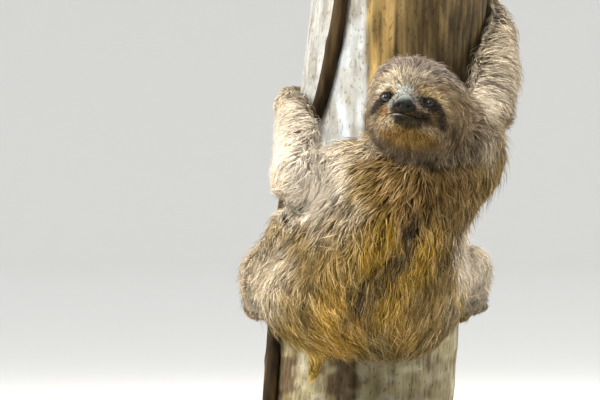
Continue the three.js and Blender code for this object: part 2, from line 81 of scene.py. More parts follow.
# The face, in millimetres to the face's left, up and forward of the head's middle.
EYE_OUT, EYE_UP, EYE_FORWARD, EYE_RADIUS = 21.6, -7.9, 38.6, 5.6
NOSE_AT, NOSE_HALF = np.array([0.4, -16.4, 55.8]), np.array([10.8, 8.9, 5.8])
MOUTH_SIDE, MOUTH_UP, MOUTH_OUT, MOUTH_SMILE = 3.2, -26.6, 18.5, 1.8

# ---------------------------------------------------------------- the coat
# For each part of the body: how deep its coat is, how long and how wide its tufts are.
COAT = {
    "torso": (14.0, 27.0, 1.15),
    "neck": (11.0, 23.0, 1.05),
    "tail": (4.5, 15.0, 1.0),
    "upper_arm": (10.5, 23.0, 1.05),
    "forearm": (9.0, 21.0, 1.0),
    "hand": (4.0, 9.0, 0.8),
    "thigh": (11.0, 24.0, 1.1),
    "shin": (9.0, 20.0, 1.0),
    "foot": (4.0, 8.0, 0.8),
    "head": (7.0, 15.0, 0.8),
}
FACE_COAT = (2.4, 5.2, 0.6)  # the same, on the short-haired face
BARK_DEPTH = 3.0  # depth of the coat that the trunk presses flat
PATCH = 0.003  # size of a tuft's patch on the unwrapped skin

# Linear colours of the coat, of the lips, and of the highlight painted on the lips.
GREY_BROWN = (0.330, 0.222, 0.070)
UPPER_BACK = (0.280, 0.160, 0.045)
# A dark brown, laid mostly as painted shade on the right side of the back and of the head.
SHADED_BROWN = (0.165, 0.095, 0.022)
PALE = (0.830, 0.740, 0.610)
GREYISH = (0.530, 0.450, 0.340)
GOLD = (0.420, 0.248, 0.026)
BRIGHT_GOLD = (0.540, 0.310, 0.035)
TAIL_GOLD = (0.800, 0.510, 0.080)
RUSSET = (0.360, 0.210, 0.075)
DARK = (0.024, 0.017, 0.010)
CREAM = (0.560, 0.500, 0.370)
FOREHEAD = (0.440, 0.370, 0.255)
CHEEK = (0.305, 0.232, 0.130)
HEAD_BROWN = (0.285, 0.210, 0.130)
CROWN = (0.270, 0.215, 0.170)
BROW_GOLD = (0.430, 0.300, 0.120)
BROW_LIGHT = (0.470, 0.355, 0.165)
DEEP_RUSSET = (0.110, 0.062, 0.020)
NOSE_FUR = (0.200, 0.205, 0.180)
STRIPE_END = (0.160, 0.110, 0.050)
THROAT = (0.245, 0.132, 0.018)
ORANGE = (0.240, 0.122, 0.028)
TAN = (0.520, 0.400, 0.235)
MUZZLE = (0.050, 0.036, 0.014)
# Pale blue-grey of the nose's bridge: partly its own colour, partly a painted highlight on its side
# at the camera's left.
BRIDGE = (0.380, 0.405, 0.380)
# The painted highlight on the lower lip.
LIP_HIGHLIGHT = (0.230, 0.205, 0.200)


# ---------------------------------------------------------------- numbers and noise
def unit(vectors):
    """Vectors scaled to a length of one."""
    length = np.linalg.norm(vectors, axis=-1, keepdims=True)
    return vectors / np.maximum(length, 1e-9)


def ramp(values, low, high):
    """0 below low and 1 above high, with a smooth rise between them."""
    t = np.clip((values - low) / (high - low), 0, 1)
    return t * t * (3 - 2 * t)


def dot(a, b):
    return np.sum(a * b, axis=-1)


def toward(values, target, share):
    """Rows of values, or one value for every row, moved to a target by each row's share."""
    values = np.asarray(values)
    return values + share[:, None] * (target - values)


def circle(count):
    """Evenly spaced angles round a circle, in radians."""
    return np.linspace(0, 2 * math.pi, count, endpoint=False)


def bell(distance):
    """1 at no distance, and falling softly to 0 beyond a distance of one."""
    return np.exp(-(distance**2))


def noise(points, size, seed):
    """Smooth random values from -1 to 1 that change over about that many millimetres."""
    scaled = np.asarray(points) / size + seed * 7.31
    cell = np.floor(scaled).astype(np.int64)
    t = scaled - cell
    t = t * t * (3 - 2 * t)
    total = np.zeros(len(scaled))
    for corner in range(8):
        bits = np.array([corner & 1, corner >> 1 & 1, corner >> 2 & 1])
        x, y, z = (cell + bits).T
        mixed = (x * 73856093) ^ (y * 19349663) ^ (z * 83492791) ^ (seed * 2654435)
        mixed = (mixed ^ (mixed >> 13)) * 1274126177 & 0x7FFFFFFF
        share = np.prod(np.where(bits, t, 1 - t), axis=1)
        total += share * ((mixed % 65521) / 32760.5 - 1)
    return total


def head_axes():
    """The head's own left, up and forward directions, as rows."""
    turn = (
        Matrix.Rotation(math.radians(-HEAD_TURN), 3, "Z")
        @ Matrix.Rotation(math.radians(-HEAD_LIFT), 3, "X")
        @ Matrix.Rotation(math.radians(HEAD_TIP), 3, "Y")
    )
    return np.array([turn @ Vector(v) for v in ((1, 0, 0), (0, 0, 1), (0, -1, 0))])


HEAD_AXES = head_axes()


def to_head(points):
    """Places as left, up and forward of the head's middle."""
    return (points - HEAD_CENTRE) @ HEAD_AXES.T


def from_head(places):
    return HEAD_CENTRE + np.asarray(places, float) @ HEAD_AXES


# ---------------------------------------------------------------- bark surface
def trunk_axis_x(z):
    return TRUNK_AXIS_X + TRUNK_LEAN * (z - TRUNK_BOTTOM)


def trunk_radius(angle, z):
    """How far the bark lies from the trunk's axis. The angle is in radians."""
    rise = (z - TRUNK_BOTTOM) / (TRUNK_TOP - TRUNK_BOTTOM)
    straight = TRUNK_RADII[0] + (TRUNK_RADII[1] - TRUNK_RADII[0]) * rise
    girth = 1.5 * np.sin(3 * angle + 0.7) + 0.8 * np.sin(5 * angle - 1.1)
    return straight + girth + 1.1 * np.sin(z / 47 + 2 * angle)


def on_trunk(angle, z, out):
    """Places at an angle in degrees round the trunk, so far out from its bark."""
    angle = np.radians(angle)
    z = np.asarray(z, float) + 0 * angle
    reach = trunk_radius(angle, z) + out
    x = trunk_axis_x(z) + reach * np.cos(angle)
    return np.stack([x, reach * np.sin(angle), z], axis=-1)


def off_bark(points):
    """How far places are out from the bark, and the direction straight out of it."""
    x = points[:, 0] - trunk_axis_x(points[:, 2])
    y = points[:, 1]
    reach = np.hypot(x, y)
    out = np.stack([x / reach, y / reach, np.zeros(len(x))], axis=1)
    return reach - trunk_radius(np.arctan2(y, x), points[:, 2]), out


# ---------------------------------------------------------------- meshes
def new_object(name, data):
    piece = bpy.data.objects.new(name, data)
    bpy.context.scene.collection.objects.link(piece)
    return piece


def mesh_object(name, points, faces, smooth=True):
    """A Blender object from places in millimetres."""
    mesh = bpy.data.meshes.new(name)
    faces = faces.tolist() if isinstance(faces, np.ndarray) else faces
    mesh.from_pydata((points * MM).tolist(), [], faces)
    mesh.polygons.foreach_set("use_smooth", [smooth] * len(mesh.polygons))
    return new_object(name, mesh)


def box_of(node):
    """The low and high corners of a node of the frame, in millimetres."""
    return (np.array(corner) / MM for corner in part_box(node))


def keep(piece, slot, material, *nodes):
    """Gives a piece its material, and puts it in the place of the frame's nodes."""
    piece.data.materials.append(material)
    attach(piece, "root")
    if nodes:
        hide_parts(*nodes)


def set_colours(piece, colours):
    """Linear colours for the piece's vertices, which its material reads."""
    layer = piece.data.color_attributes.new(COLOUR_LAYER, "FLOAT_COLOR", "POINT")
    rgba = np.ones((len(colours), 4), np.float32)
    rgba[:, :3] = colours
    layer.data.foreach_set("color", rgba.ravel())


def grid_faces(rows, columns):
    """Four-sided faces of a grid of points, whose columns close on themselves."""
    n, s = np.meshgrid(np.arange(rows - 1), np.arange(columns), indexing="ij")
    t = (s + 1) % columns
    corners = [n * columns + s, n * columns + t, (n + 1) * columns + t, (n + 1) * columns + s]
    return np.stack(corners, axis=-1).reshape(-1, 4)


def tube(name, centres, radii, sides, ripple=None):
    """A closed round tube through centres. ripple(angle, row) adds to its radius."""
    centres = np.asarray(centres, float)
    angle = circle(sides)
    side = np.array([0.1, 0, 1.0])
    rows = []
    for n, direction in enumerate(unit(np.gradient(centres, axis=0))):
        side = unit(side - direction * (side @ direction))
        other = np.cross(direction, side)
        radius = radii[n] + (ripple(angle, n) if ripple else 0 * angle)
        across, along = radius * np.cos(angle), radius * np.sin(angle)
        rows.append(centres[n] + across[:, None] * side + along[:, None] * other)
    first, last = len(rows) * sides, (len(rows) - 1) * sides
    faces = grid_faces(len(rows), sides).tolist()
    for s in range(sides):
        t = (s + 1) % sides
        faces += [[first, t, s], [first + 1, last + s, last + t]]
    return mesh_object(name, np.concatenate(rows + [centres[:1], centres[-1:]]), faces)


# ---------------------------------------------------------------- materials
class Finish:
    """A material with one Principled shader, patterned in the object's own space."""

    def __init__(self, name, roughness, specular, metallic=0.0):
        self.material = bpy.data.materials.new(name)
        self.material.use_nodes = True
        self.shader = self.material.node_tree.nodes["Principled BSDF"]
        self.set(self.shader, "Roughness", roughness)
        self.set(self.shader, "Specular IOR Level", specular)
        self.set(self.shader, "Metallic", metallic)

    def set(self, node, socket, value):
        """Sets a node's input to a value, or links another node's output to it."""
        if isinstance(value, bpy.types.NodeSocket):
            self.material.node_tree.links.new(value, node.inputs[socket])
        else:
            node.inputs[socket].default_value = value

    def node(self, kind, **inputs):
        """A new node, with its inputs set or linked."""
        node = self.material.node_tree.nodes.new("ShaderNode" + kind)
        for socket, value in inputs.items():
            self.set(node, socket, value)
        return node

    def colour(self, value):
        self.set(self.shader, "Base Color", value)

    def painted(self):
        """The colour that is written on the mesh."""
        attribute = self.node("VertexColor")
        attribute.layer_name = COLOUR_LAYER
        return attribute.outputs["Color"]

    def space(self):
        return self.node("TexCoord").outputs["Object"]

    def noise(self, scale, detail, squeeze=1.0):
        """Noise that is drawn out along Z by a squeeze below one."""
        place = self.node("Mapping", Vector=self.space(), Scale=(1.0, 1.0, squeeze))
        texture = self.node("TexNoise", Vector=place.outputs["Vector"], Scale=scale, Detail=detail)
        return texture.outputs["Fac"]

    def ramp(self, value, *stops):
        """A colour ramp of (place, linear colour) stops."""
        colour = self.node("ValToRGB", Fac=value)
        elements = colour.color_ramp.elements
        while len(elements) < len(stops):
            elements.new(0.5)
        for element, (place, rgb) in zip(elements, stops):
            element.position = place
            element.color = (*rgb, 1)
        return colour.outputs["Color"]

    def mix(self, share, first, second, blend="MULTIPLY"):
        """Two colours mixed by a share, which is a number or an output."""
        mix = self.node("Mix")
        mix.data_type = "RGBA"
        mix.blend_type = blend
        self.set(mix, "Factor", share)
        self.set(mix, "A", first)
        self.set(mix, "B", second)
        return mix.outputs["Result"]

    def bump(self, height, strength, distance):
        relief = self.node("Bump", Height=height, Strength=strength, Distance=distance)
        self.set(self.shader, "Normal", relief.outputs["Normal"])


def painted_finish(name, roughness, specular):
    """A finish whose colour is written on the mesh."""
    finish = Finish(name, roughness, specular)
    finish.colour(finish.painted())
    return finish


def fur_finish():
    return painted_finish("fur", 0.60, 0.16).material


def skin_finish(name):
    finish = painted_finish(name, 0.68, 0.14)
    finish.bump(finish.noise(900, 3), 0.35, 0.0006)
    return finish.material


def nose_finish():
    finish = painted_finish("nose_skin", 0.42, 0.13)
    cells = finish.node("TexVoronoi", Vector=finish.space(), Scale=1100)
    finish.bump(cells.outputs["Distance"], 0.3, 0.0003)
    return finish.material


def eye_finish():
    return painted_finish("eye", 0.05, 0.26).material


def claw_finish():
    finish = painted_finish("claw", 0.42, 0.45)
    finish.bump(finish.noise(260, 3), 0.25, 0.0005)
    return finish.material


def bark_finish():
    """The bark's own colours with dark lines, patches and specks. Pale bark has fewer lines."""
    finish = Finish("bark", 0.85, 0.2)
    colour = finish.painted()
    grain = finish.noise(260, 5, 0.07)
    broad = finish.noise(60, 6, 0.3)
    specks = finish.noise(330, 3, 0.5)
    tone = finish.node("RGBToBW", Color=colour).outputs["Val"]
    pale = finish.ramp(tone, (0.16, (0, 0, 0)), (0.34, (0.85, 0.85, 0.85)))
    lines = finish.ramp(grain, (0.36, (0.42, 0.38, 0.32)), (0.56, (1.12, 1.12, 1.1)))
    lines = finish.mix(pale, lines, (1.0, 1.0, 1.0, 1.0), "MIX")
    patches = finish.ramp(broad, (0.36, (0.56, 0.50, 0.42)), (0.60, (1.1, 1.1, 1.1)))
    dots = finish.ramp(specks, (0.33, (0.45, 0.40, 0.34)), (0.43, (1.0, 1.0, 1.0)))
    for share, pattern in ((0.75, lines), (0.8, patches), (0.7, dots)):
        colour = finish.mix(share, colour, pattern)
    finish.colour(colour)
    finish.bump(grain, 0.7, 0.0015)
    return finish.material


def vine_finish():
    finish = Finish("vine", 0.85, 0.12)
    fibre = finish.noise(120, 6, 0.12)
    dark, middle, light = (0.010, 0.006, 0.003), (0.034, 0.021, 0.008), (0.085, 0.055, 0.022)
    finish.colour(finish.ramp(fibre, (0.30, dark), (0.52, middle), (0.72, light)))
    finish.bump(fibre, 0.8, 0.0015)
    return finish.material


def cut_wood_finish():
    """End grain: growth rings about the trunk's axis, with fine pores."""
    finish = Finish("cut_wood", 0.75, 0.25)
    rings = finish.node("TexWave", Vector=finish.space(), Scale=52, Distortion=5.0, Detail=3)
    rings.wave_type = "RINGS"
    rings.rings_direction = "Z"
    dark, middle, light = (0.40, 0.27, 0.14), (0.50, 0.36, 0.20), (0.56, 0.42, 0.25)
    colour = finish.ramp(rings.outputs["Fac"], (0.0, dark), (0.35, middle), (1.0, light))
    pores = finish.noise(420, 4)
    dots = finish.ramp(pores, (0.35, (0.6, 0.55, 0.5)), (0.52, (1.0, 1.0, 1.0)))
    finish.colour(finish.mix(0.6, colour, dots))
    finish.bump(pores, 0.3, 0.0008)
    return finish.material


def base_finish():
    finish = Finish("painted_board", 0.42, 0.45)
    dark, light = (0.020, 0.021, 0.022), (0.034, 0.035, 0.037)
    finish.colour(finish.ramp(finish.noise(26, 5), (0.35, dark), (0.65, light)))
    finish.bump(finish.noise(700, 2), 0.12, 0.0004)
    return finish.material


def rod_finish():
    finish = Finish("brushed_rod", 0.32, 0.5, metallic=1.0)
    dark, light = (0.50, 0.50, 0.51), (0.68, 0.68, 0.69)
    finish.colour(finish.ramp(finish.noise(900, 2, 0.03), (0.3, dark), (0.7, light)))
    return finish.material


# ---------------------------------------------------------------- markings
# Soft spots of colour on the body: middle, half sizes, lean in degrees, colour, strength.
# A lean turns the spot as seen by the camera, clockwise from upright.
BODY_SPOTS = [
    ((30, -190, 300), (90, 90, 44), 90, UPPER_BACK, 0.80),  # upper back
    # Painted shade on the right shoulder and flank, the side away from the lamps.
    ((84, -170, 325), (38, 90, 66), 10, SHADED_BROWN, 0.60),  # right shoulder
    ((62, -200, 245), (26, 90, 80), 14, SHADED_BROWN, 0.60),  # right flank
    ((14, -220, 180), (34, 60, 60), 20, SHADED_BROWN, 0.40),
    ((-84, -150, 330), (44, 90, 62), 0, PALE, 0.90),  # left forearm
    ((-98, -80, 382), (50, 90, 36), 0, GREYISH, 0.80),  # left hand
    ((-22, -190, 328), (32, 60, 13), 0, GREYISH, 0.60),
    ((-64, -170, 290), (34, 60, 34), 20, PALE, 0.90),  # left shoulder
    ((-52, -190, 246), (26, 60, 26), 0, GREYISH, 0.60),
    # Painted light, which lifts the shade in the fold below the left shoulder.
    ((-78, -170, 268), (20, 60, 18), 0, PALE, 0.60),
    ((-112, -120, 190), (34, 90, 60), 20, PALE, 0.46),  # left knee and hip
    ((98, -120, 202), (26, 150, 44), -6, PALE, 0.72),  # right knee
    ((118, -60, 430), (46, 140, 90), 0, GREYISH, 0.80),  # right arm
    ((110, -110, 372), (26, 80, 44), 10, GREYISH, 0.75),
    ((106, -140, 330), (16, 80, 26), 0, GREYISH, 0.75),
    ((102, -110, 356), (18, 80, 28), 10, PALE, 0.55),
    # Painted light, which lifts the shade below the right arm.
    ((98, -150, 338), (10, 80, 24), 0, PALE, 0.55),
    ((112, -60, 170), (40, 100, 26), 0, GREYISH, 0.75),  # feet
    ((-128, -90, 140), (34, 80, 24), 0, GREYISH, 0.60),
    # Painted shade on the right of the back.
    ((64, -205, 256), (22, 60, 30), 0, SHADED_BROWN, 0.40),
    ((8, -220, 148), (24, 40, 20), 0, SHADED_BROWN, 0.70),
    ((-20, -220, 165), (12, 40, 22), 0, SHADED_BROWN, 0.50),
    ((-30, -210, 225), (30, 60, 60), 20, GOLD, 0.35),
    ((-2, -230, 224), (17, 40, 38), 8, GOLD, 0.97),
    ((40, -225, 214), (13, 40, 40), 24, GOLD, 0.90),
    ((10, -225, 175), (12, 40, 34), 30, GOLD, 0.75),
    ((-50, -225, 170), (16, 40, 24), 35, GOLD, 0.90),
    ((-40, -200, 128), (58, 50, 24), 80, BRIGHT_GOLD, 0.90),
    ((24, -215, 130), (46, 50, 18), 80, GOLD, 0.60),
    ((-66, -140, 100), (22, 60, 26), 0, TAIL_GOLD, 0.85),  # tail
    # Painted light, which lifts the shade in the crease between the shoulder and the hip.
    ((-90, -140, 260), (18, 110, 15), 0, PALE, 0.65),  # between the shoulder and the hip
    ((-84, -160, 134), (18, 70, 12), 20, TAIL_GOLD, 0.45),  # edges of the rump
    ((72, -190, 158), (12, 60, 18), 0, GREYISH, 0.35),
    ((-30, -205, 258), (15, 50, 18), 20, GREYISH, 0.55),  # mottles of the back
    ((-9, -215, 255), (13, 50, 18), 10, SHADED_BROWN, 0.55),
    ((38, -222, 160), (20, 50, 14), 10, SHADED_BROWN, 0.50),
    ((86, -150, 172), (14, 60, 16), 0, GOLD, 0.40),
    ((88, -180, 362), (13, 70, 44), -8, RUSSET, 0.70),  # neck, right of the head
    ((-2, -207, 327), (14, 34, 5.5), 40, DARK, 0.75),  # shade below the chin
    ((17, -214, 315), (14, 34, 6), 22, DARK, 0.80),
    ((44, -216, 310), (18, 34, 6), 0, DARK, 0.80),
    ((69, -219, 321), (15, 34, 5.5), -38, DARK, 0.75),
    ((27, -232, 239), (7.5, 40, 18), 22, DARK, 0.97),  # blotches down the spine
    ((14, -232, 213), (11, 40, 10), 40, DARK, 0.97),
    ((3, -232, 192), (7, 40, 11), 30, DARK, 0.93),
    ((-5, -232, 200), (5, 40, 8), 10, DARK, 0.80),
    ((-18, -232, 187), (5, 40, 9), 20, DARK, 0.80),
    ((-24, -230, 169), (6, 40, 15), 22, DARK, 0.85),
    ((-34, -228, 151), (5, 40, 8), 35, DARK, 0.70),
    ((62, -215, 213), (6, 40, 12), 30, DARK, 0.55),
]
# Spots of the head, in its own left, up and forward millimetres.
HEAD_SPOTS = [
    ((-8, 39, 10), (70, 20, 60), 0, CROWN, 0.95),
    # Painted shade on the right side of the head, away from the lamps.
    ((50, -12, 14), (12, 34, 50), 0, SHADED_BROWN, 0.60),
    ((-52, -8, 10), (14, 40, 50), 0, GREYISH, 0.45),
    ((-8, 17, 42), (24, 9, 40), 0, FOREHEAD, 0.85),
    ((-9, 5, 44), (9, 9, 20), 0, FOREHEAD, 0.80),
    ((-6, 4.5, 44), (12, 4.5, 20), 0, CREAM, 0.70),
    # Painted shade at the outer end of the brow on the right.
    ((32, 10, 36), (6.5, 5.5, 20), -35, SHADED_BROWN, 0.75),
    ((-28, 4, 38), (11, 4.5, 24), -22, CREAM, 0.95),  # brows
    ((21, 2.5, 41), (18, 5.0, 24), 20, BROW_GOLD, 0.85),
    ((24, 1.5, 41), (9, 4.0, 18), -22, BROW_LIGHT, 0.80),
    ((38, -9, 42), (5.5, 10, 18), -24, BROW_LIGHT, 0.60),
    ((-36, -30, 30), (9, 16, 30), 0, CHEEK, 0.85),  # cheeks
    ((-25, -36, 38), (12, 8, 24), 20, CHEEK, 0.80),
    # Painted shade on the lower cheek at the camera's right.
    ((42, -42, 28), (16, 14, 30), 0, SHADED_BROWN, 0.50),
    ((6, -45, 40), (34, 9, 40), 0, THROAT, 0.95),
    # Painted shade under the chin and the jaw.
    ((10, -60, 12), (48, 6.5, 30), 0, DARK, 0.70),
    ((30, -52, 26), (16, 7, 30), -10, DARK, 0.45),
    ((-30, -49, 12), (14, 5, 30), 40, DARK, 0.60),
    ((52, -42, 8), (6, 12, 30), -28, DARK, 0.60),
    ((-18, -32, 43), (11, 8.0, 20), 0, TAN, 0.60),
    ((-30, -25, 40), (5, 8, 18), 20, STRIPE_END, 0.75),
    ((25, -24, 46), (13, 9.5, 16), 0, DEEP_RUSSET, 0.92),
    ((17, -17.6, 47), (9, 2.0, 14), 3, CHEEK, 0.80),  # pale band right of the nose
    ((-22, -22.5, 44), (6.4, 5.6, 12), 20, ORANGE, 0.90),
    ((-21, 0.6, 41), (4.2, 1.6, 8), 0, ORANGE, 0.75),
    ((-21.5, -9, 43), (7.6, 6.8, 14), 0, DARK, 0.97),  # round the eyes
    ((-16.5, -5.6, 44), (3.2, 3.0, 8), 0, DARK, 0.90),
    ((21.0, -9.8, 44), (13.5, 7.0, 16), 14, DARK, 0.98),
    ((-31, -17.0, 38), (5.8, 12.0, 20), 48, DARK, 0.97),  # stripes down the cheeks
    ((32, -13, 43), (4.6, 9, 20), -52, DARK, 0.97),
    ((38, -25, 41), (4.0, 9.5, 18), -14, DARK, 0.95),
    ((50, -32, 24), (4, 8, 16), -8, DARK, 0.75),  # ear
    ((5, -29, 54), (19, 4.5, 18), 3, MUZZLE, 0.98),  # muzzle and chin
    ((6, -33.5, 52), (15, 5.5, 18), 3, MUZZLE, 0.92),
    ((17, -25.5, 50), (12, 5.0, 14), 0, DARK, 0.80),
    ((0, -23, 56), (15, 5, 18), 0, MUZZLE, 0.97),
    # The pale bridge: partly its own colour, partly painted highlight.
    ((-4, -1, 47), (9, 8, 12), 0, BRIDGE, 0.95),
    ((2.5, -9.0, 54), (8.5, 4.8, 14), 0, NOSE_FUR, 0.85),
    # The skin left of the nose as the camera sees it: its own pale colour and painted highlight.
    ((-13.5, -14.5, 49), (3.4, 8, 10), 12, BRIDGE, 0.75),
]


def paint_spots(colours, places, spots, up, ragged):
    """Lays soft spots over colours. up is the column that is upright, and ragged frays them."""
    for middle, half, lean, colour, strength in spots:
        step = places - np.array(middle, float)
        turn = math.radians(lean)
        across, along = step[:, 0].copy(), step[:, up].copy()
        step[:, 0] = across * math.cos(turn) - along * math.sin(turn)
        step[:, up] = across * math.sin(turn) + along * math.cos(turn)
        near = np.sum((step / np.array(half, float)) ** 2, axis=1)
        colours = toward(colours, colour, strength * (1 - ramp(near + ragged, 0.55, 1.45)))
    return colours


def markings(points, on_head):
    """The coat's colour at places. on_head is 1 on the head and 0 on the body."""
    streaks = 0.35 * noise(points, 9, 5) + 0.45 * noise(points * [1, 0.5, 0.3], 4, 6)
    body = paint_spots(GREY_BROWN, points, BODY_SPOTS, 2, streaks)
    frayed = 0.3 * noise(points, 4, 7)
    head = paint_spots(HEAD_BROWN, to_head(points), HEAD_SPOTS, 1, frayed)
    mottle = 1 + 0.16 * noise(points, 26, 2) + 0.12 * noise(points, 8, 3)
    low = (1 - on_head) * (1 - ramp(points[:, 2], 150, 200))
    mottle += 0.75 * low * noise(points * [1, 0.5, 0.45], 5, 12)
    return toward(body, head, on_head) * mottle[:, None]


# ---------------------------------------------------------------- the lie of the coat
# Places on the body and the way that its coat lies there.
COMB = [
    ((30, -220, 300), (-0.1, 0, -1)),
    ((-10, -215, 300), (-0.6, 0, -0.8)),
    ((-26, -200, 316), (-0.85, 0.1, -0.45)),
    ((-45, -195, 318), (-0.55, 0.1, -0.8)),
    ((0, -212, 319), (-0.8, 0, -0.5)),
    ((70, -210, 300), (0.15, 0, -1)),
    ((100, -180, 310), (0.25, 0, -1)),
    ((88, -190, 370), (0.15, 0.1, -1)),
    ((70, -150, 400), (0.6, 0.2, -0.7)),
    ((20, -235, 255), (0.0, 0, -1)),
    ((-30, -225, 255), (0.0, 0, -1)),
    ((-38, -200, 286), (-0.1, 0, -1)),
    ((-18, -215, 286), (-0.35, 0, -0.95)),
    ((-60, -210, 250), (-0.55, 0, -1)),
    ((75, -215, 250), (-0.3, 0, -1)),
    ((60, -220, 200), (-0.35, 0, -1)),
    ((25, -235, 210), (-0.15, 0, -1)),
    ((-10, -235, 205), (-0.1, 0, -1)),
    ((-55, -225, 200), (-0.35, 0, -1)),
    ((-95, -190, 215), (-0.4, 0, -0.9)),
    ((-110, -190, 175), (0.35, 0, -0.9)),
    ((-80, -215, 160), (0.5, 0, -0.85)),
    ((-45, -225, 160), (0.15, 0, -1)),
    ((-85, -200, 130), (0.85, 0, -0.4)),
    ((-45, -205, 120), (1, 0, -0.1)),
    ((0, -215, 150), (0.0, 0, -1)),
    ((0, -195, 118), (0.5, 0.2, -0.4)),
    ((45, -215, 150), (-0.5, 0, -0.85)),
    ((70, -190, 150), (-0.7, 0, -0.7)),
    ((50, -180, 122), (-0.8, 0.2, -0.3)),
    ((-60, -190, 292), (-0.35, 0, -0.95)),
    ((-92, -180, 290), (-0.85, 0, -0.5)),
    ((-80, -150, 335), (-0.75, 0, -0.6)),
    ((-70, -130, 365), (-0.8, 0, -0.35)),
    ((-100, -100, 360), (-0.5, 0, -0.8)),
    ((-115, -140, 205), (-0.3, 0.2, -0.9)),
    ((-125, -90, 180), (-0.1, 0.5, -0.8)),
    ((95, -110, 220), (0.5, 0.3, -0.7)),
    ((100, -80, 195), (0.2, 0.5, -0.8)),
    ((118, -110, 380), (0.8, 0.1, -0.45)),
    ((130, -60, 420), (0.8, 0.1, -0.5)),
    ((130, 0, 450), (0.6, 0.1, -0.7)),
    ((110, 40, 480), (0.2, 0.3, -0.8)),
    ((-66, -140, 110), (0, 0, -1)),
    ((-70, -215, 150), (0.8, 0, -0.6)),
    ((-30, -215, 130), (0.75, 0, -0.65)),
    ((-105, -190, 160), (0.75, 0, -0.65)),
    ((-60, -195, 112), (1, 0, -0.25)),
]
COMB_REACH = 20.0  # how far a place of the comb is felt
MUZZLE_AT = np.array([0, -12, 62.0])  # where the face's hair parts, in the head's own axes


def body_flow(points):
    """The way the coat lies on the body, by how near each place of the comb is."""
    flow = np.tile([0, 0, -0.02], (len(points), 1))
    for place, way in COMB:
        near = np.sum((points - place) ** 2, axis=1) / (2 * COMB_REACH**2)
        flow += np.exp(-near)[:, None] * unit(np.array(way, float))
    return unit(flow)


def head_flow(points):
    """Away from the nose on the face, down its sides round it, and back behind it."""
    places = to_head(points)
    away = unit(places - MUZZLE_AT)
    round_face = (places - MUZZLE_AT) * [1, 1, 0]
    radial = unit(round_face)
    down = np.array([[0, -1.0, 0]]) + radial[:, 1:2] * radial
    outer = ramp(np.hypot(round_face[:, 0] / 46, (round_face[:, 1] + 4) / 40), 0.7, 1.15)
    away = unit(away + 1.3 * outer[:, None] * down)
    back = unit(places * [0.01, 0, 0] + [0, -0.5, -1])
    share = ramp(-places[:, 2], -18, 20)[:, None]
    return unit((1 - share) * away + share * back) @ HEAD_AXES


# ---------------------------------------------------------------- surfaces as arrays
def corner_sum(count, index, values):
    """Adds values up by the vertex that each belongs to."""
    columns = [np.bincount(index, values[:, axis], count) for axis in range(values.shape[1])]
    return np.stack(columns, axis=1)


def smoothed(values, edges, passes):
    """Values of vertices, each drawn halfway to the mean of its neighbours in every pass."""
    flat = values.ndim == 1
    values = values[:, None] if flat else values
    count = len(values)
    ends = np.concatenate([edges[:, 0], edges[:, 1]])
    others = np.concatenate([edges[:, 1], edges[:, 0]])
    degree = np.maximum(np.bincount(ends, minlength=count), 1)[:, None]
    for _ in range(passes):
        mean = corner_sum(count, ends, values[others]) / degree
        values = values + 0.5 * (mean - values)
    return values[:, 0] if flat else values


def edges_of(faces):
    """Each pair of neighbouring vertices, once."""
    sides = np.stack([faces, np.roll(faces, -1, axis=1)], axis=-1).reshape(-1, 2)
    return np.unique(np.sort(sides, axis=1), axis=0)


def face_normals(points, triangles):
    """Each triangle's normal, twice as long as its area is large."""
    a, b, c = (points[triangles[:, n]] for n in range(3))
    return np.cross(b - a, c - a)


def normals_of(points, triangles):
    cross = face_normals(points, triangles)
    return unit(sum(corner_sum(len(points), triangles[:, n], cross) for n in range(3)))


def nearest_places(places, points):
    """For each point, the number of the place that lies nearest to it."""
    tree = KDTree(len(places))
    for n, place in enumerate(places):
        tree.insert(place, n)
    tree.balance()
    return np.array([tree.find(point)[1] for point in points])


def largest_piece(points, faces):
    """The faces of the largest connected piece, with the vertices it doesn't use dropped."""
    edges = edges_of(faces)
    label = np.arange(len(points))
    while True:
        before = label.copy()
        low = np.minimum(label[edges[:, 0]], label[edges[:, 1]])
        np.minimum.at(label, edges[:, 0], low)
        np.minimum.at(label, edges[:, 1], low)
        label = label[label]
        if np.array_equal(label, before):
            break
    biggest = np.bincount(label).argmax()
    used = label == biggest
    renumber = np.cumsum(used) - 1
    return points[used], renumber[faces[used[faces[:, 0]]]]


# ---------------------------------------------------------------- the skin
FLESH = ("torso", "neck", "head", "tail", "upper_arm", "forearm", "hand", "thigh", "shin", "foot")
FACE_PIECES = ("eye", "ear", "nose")
GROW = 1.2  # how far the solids grow, which closes the cuts between them
VOXEL = 2.5  # size of the cells that the joined solids are built from again
# Swellings above and below both eyes: middle, half sizes, and how far they stand out.
SWELLINGS = [((22, 3.5), (13, 4), 1.4), ((22, -16), (9, 3), 0.8)]


def part_of(node):
    """The part of the body that a node belongs to, without its side."""
    return node.replace("_left", "").replace("_right", "")


def flesh_nodes():
    return [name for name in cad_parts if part_of(name) in FLESH]


def joined_solids():
    """One surface through the coat's tips, from the solids of flesh."""
    joined = bmesh.new()
    for name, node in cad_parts.items():
        if part_of(name) in FLESH + FACE_PIECES:
            joined.from_mesh(node.data)
    bmesh.ops.remove_doubles(joined, verts=joined.verts, dist=1e-6)
    joined.normal_update()
    for vertex in joined.verts:
        vertex.co += vertex.normal * GROW * MM
    mesh = bpy.data.meshes.new("joined")
    joined.to_mesh(mesh)
    joined.free()
    piece = new_object("joined", mesh)
    remesh = piece.modifiers.new("remesh", "REMESH")
    remesh.mode = "VOXEL"
    remesh.voxel_size = VOXEL * MM
    result = bpy.data.meshes.new_from_object(
        piece.evaluated_get(bpy.context.evaluated_depsgraph_get())
    )
    points = np.array([v.co for v in result.vertices]) / MM
    quads = np.array([list(p.vertices) for p in result.polygons if len(p.vertices) == 4])
    bpy.data.objects.remove(piece)
    return largest_piece(points, quads)


